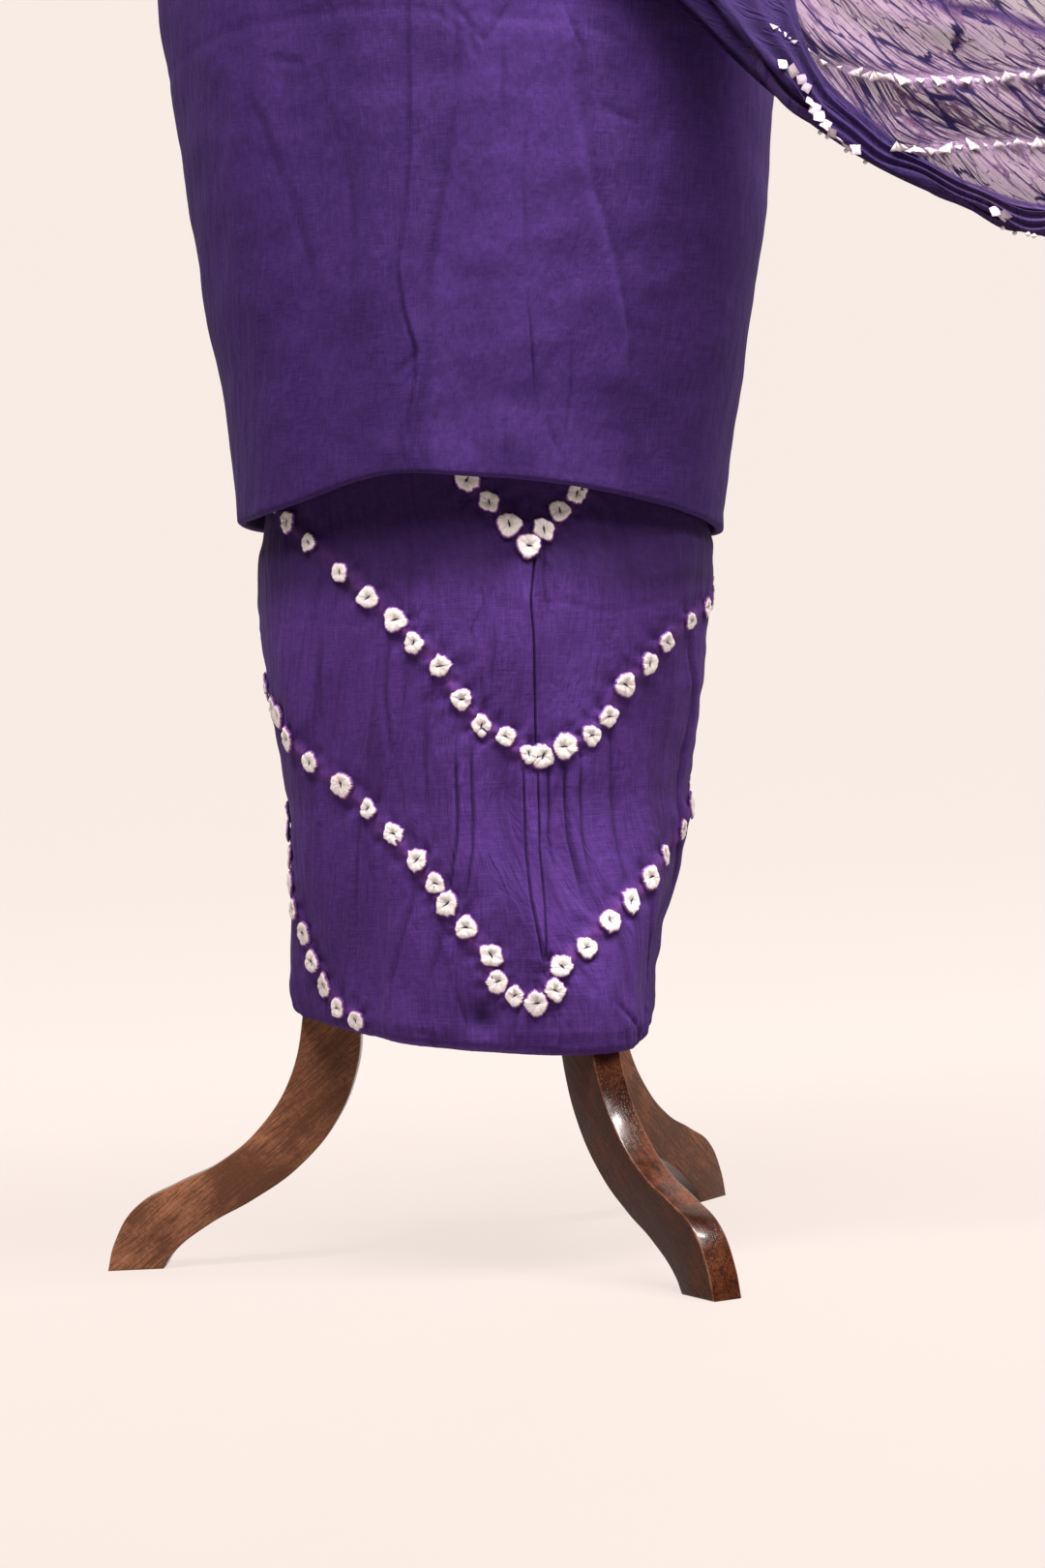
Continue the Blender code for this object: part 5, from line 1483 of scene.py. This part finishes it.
def knot_pattern():
    """One knot the size of a seed, a little longer than wide."""
    ball = bmesh.new()
    bmesh.ops.create_icosphere(ball, subdivisions=1, radius=KNOT_RADIUS)
    bmesh.ops.scale(ball, vec=(1, 1, 1.25), verts=ball.verts)
    mesh = bpy.data.meshes.new("knot_pattern")
    ball.to_mesh(mesh)
    ball.free()
    mesh.shade_smooth()
    mesh.materials.append(square_finish)
    return add_object("knot_pattern", mesh)


def undyed_chiffon():
    material, tree, shader = new_finish("undyed chiffon", 0.8, Specular_IOR_Level=0.15)
    weave, cloud = woven(tree, add_node(tree, "ShaderNodeTexCoord").outputs["Object"], 0.0009, 0.012)
    colour = mix_colour(tree, cloud["Cloud"], (0.52, 0.45, 0.48), (0.74, 0.68, 0.66))
    rim = ease_map(tree, mesh_value(tree, "rim"), 0.2, 1.0)
    feed(tree, shader, Base_Color=laid_over(tree, colour, (rim, 0.75, (0.34, 0.20, 0.38))),
         Normal=bumped(tree, weave["Height"], 0.0002, 0.6))
    return material


def seat_on_dupatta(line, along_step):
    """Place, facing and turn of spots under an (x, z) line, on the foremost layer there."""
    points, normals = surface_points(dupatta)
    spots = []
    for (x0, z0), (x1, z1) in zip(line, line[1:]):
        count = max(1, round(float(np.hypot(x1 - x0, z1 - z0)) / along_step))
        for step in range(count):
            x = STAND_X + x0 + (x1 - x0) * step / count
            z = z0 + (z1 - z0) * step / count
            apart = np.hypot(points[:, 0] - x, points[:, 2] - z)
            close = np.flatnonzero(apart < 0.003)
            if not len(close):
                close = np.argsort(apart)[:4]
            front = close[np.argmin(points[close, 1])]
            facing = normals[front] * (-1 if normals[front][1] > 0 else 1)
            spots.append(((x, points[front][1] - TIE_LIFT, z), facing, atan2(z1 - z0, x1 - x0)))
    return spots


def knots_on_edge():
    points, _ = surface_points(dupatta)
    spots = []
    for x, z in EDGE_KNOTS:
        nearest = np.argmin(np.hypot(points[:, 0] - STAND_X - x, points[:, 2] - z))
        spots.append((points[nearest] - np.array([0, 0, 0.0010]), (0, -1, 0), 0.0, 1.0))
    return spots


square_finish = undyed_chiffon()
draw = np.random.default_rng(19)
squares = []
for line in RIBBON_TIES:
    for index, (place, facing, turn) in enumerate(seat_on_dupatta(line, SQUARE_SPACING)):
        squares.append((place, facing, turn + (0.55 if index % 2 else 1.05)))
squares = [(*spot, size) for spot, size in zip(squares, draw.uniform(0.8, 1.15, len(squares)))]
dupatta_squares = scatter(
    "dupatta_tied_squares", squares, [square_pattern(number) for number in range(4)], 5, square_finish)
tied_points = []
for line in POINTED_TIES:
    for here, after in zip(line, line[1:] + line[-2:-1]):
        halfway = ((here[0] + after[0]) / 2, (here[1] + after[1]) / 2)
        for spot, size in ((here[:2], here[2]), (halfway, 0.62 * min(here[2], after[2]))):
            place, facing, turn = seat_on_dupatta((spot, after[:2]), 1.0)[0]
            turn += draw.uniform(-0.5, 0.5) + (pi if draw.random() < 0.3 else 0)
            tied_points.append((place, facing, turn, size * draw.uniform(0.85, 1.15)))
dupatta_points = scatter(
    "dupatta_tied_points", tied_points, [pennant_pattern(number) for number in range(6)], 8, square_finish)
edge_knots = scatter("dupatta_edge_knots", knots_on_edge(), [knot_pattern()], 3, square_finish)
for piece in (dupatta, dupatta_squares, dupatta_points, edge_knots):
    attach(piece, "root")
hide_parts("dupatta")

# Studio. A cream paper sweep under and behind the stand, two long strip lights high in
# front of it, one steeper than the other, and pale walls all round.
SWEEP_HALF_WIDTH, SWEEP_HEIGHT = 20.0, 11.0
SWEEP_FRONT, SWEEP_BEND, SWEEP_BACK = -12.0, 4.9, 7.5
LIGHT_AIM = (0.05, -0.12, 0.45)
LIGHT_COLOUR = (1.0, 0.965, 0.945)


def paper_sweep():
    profile = [(SWEEP_FRONT, 0.0), (-2.0, 0.0), (0.0, 0.0), (SWEEP_BEND, 0.0)]
    radius = SWEEP_BACK - SWEEP_BEND
    for step in range(1, 13):
        turn = pi / 2 * step / 12
        profile.append((SWEEP_BEND + radius * sin(turn), radius * (1 - cos(turn))))
    profile.append((SWEEP_BACK, SWEEP_HEIGHT))
    points = [(side * SWEEP_HALF_WIDTH, y, z) for y, z in profile for side in (-1, 1)]
    faces = [(2 * i, 2 * i + 1, 2 * i + 3, 2 * i + 2) for i in range(len(profile) - 1)]
    material, tree, shader = new_finish("cream paper", 0.95, Specular_IOR_Level=0.1, Emission_Strength=1.0)
    place = add_node(tree, "ShaderNodeTexCoord").outputs["Object"]
    cloud = use_group(tree, cloud_effect, Place=place, Size=0.9)
    colour = mix_colour(tree, cloud["Cloud"], (0.050, 0.042, 0.038), (0.055, 0.047, 0.042))
    depth = ease_map(tree, add_node(tree, "ShaderNodeSeparateXYZ", {0: place}).outputs[1], -0.9, 1.9)
    # The paper glows as painted light, more towards the back, so that it looks evenly pale
    glow = mix_colour(tree, depth, (0.785, 0.690, 0.645), (0.912, 0.815, 0.762))
    feed(tree, shader, Base_Color=colour, Emission_Color=glow)
    return lay_mesh("paper_sweep", points, faces, material)


def softbox(name, place, size, power):
    light = bpy.data.lights.new(name, "AREA")
    light.shape = "RECTANGLE"
    light.size, light.size_y = size
    light.energy = power
    light.color = LIGHT_COLOUR
    aim = (Vector(LIGHT_AIM) - Vector(place)).to_track_quat("-Z", "Y")
    add_object(name, light).matrix_world = Matrix.Translation(place) @ aim.to_matrix().to_4x4()


paper_sweep()
softbox("high_strip", (0.20, -0.80, 2.95), (3.0, 0.28), 250)
softbox("front_strip", (0.25, -1.45, 2.70), (2.8, 0.50), 68)
room = bpy.data.worlds.new("pale_walls")
bpy.context.scene.world = room
room.use_nodes = True
wall = room.node_tree.nodes["Background"]
wall.inputs[0].default_value = (1.0, 0.91, 0.86, 1)
# The walls look as pale as the paper, though they send little light back
seen = add_node(room.node_tree, "ShaderNodeLightPath").outputs["Is Camera Ray"]
room.node_tree.links.new(ease_map(room.node_tree, seen, 0, 1, 0.03, 0.86), wall.inputs[1])
bpy.context.scene.view_settings.view_transform = "Standard"

# Camera. At the height of the cloth's lower half, square to the front, level but for a
# third of a degree down and a slight turn about its own axis.
CAMERA_PLACE = (-0.1177, -2.1663, 0.3192)
CAMERA_TILT, CAMERA_ROLL = radians(89.7), radians(-2.9)
lens = bpy.data.cameras.new("studio_camera")
lens.sensor_width = 36
lens.lens = 75.56
camera = add_object("studio_camera", lens)
camera.matrix_world = (Matrix.Translation(CAMERA_PLACE) @ Matrix.Rotation(CAMERA_TILT, 4, "X")
                       @ Matrix.Rotation(CAMERA_ROLL, 4, "Z"))
bpy.context.scene.camera = camera
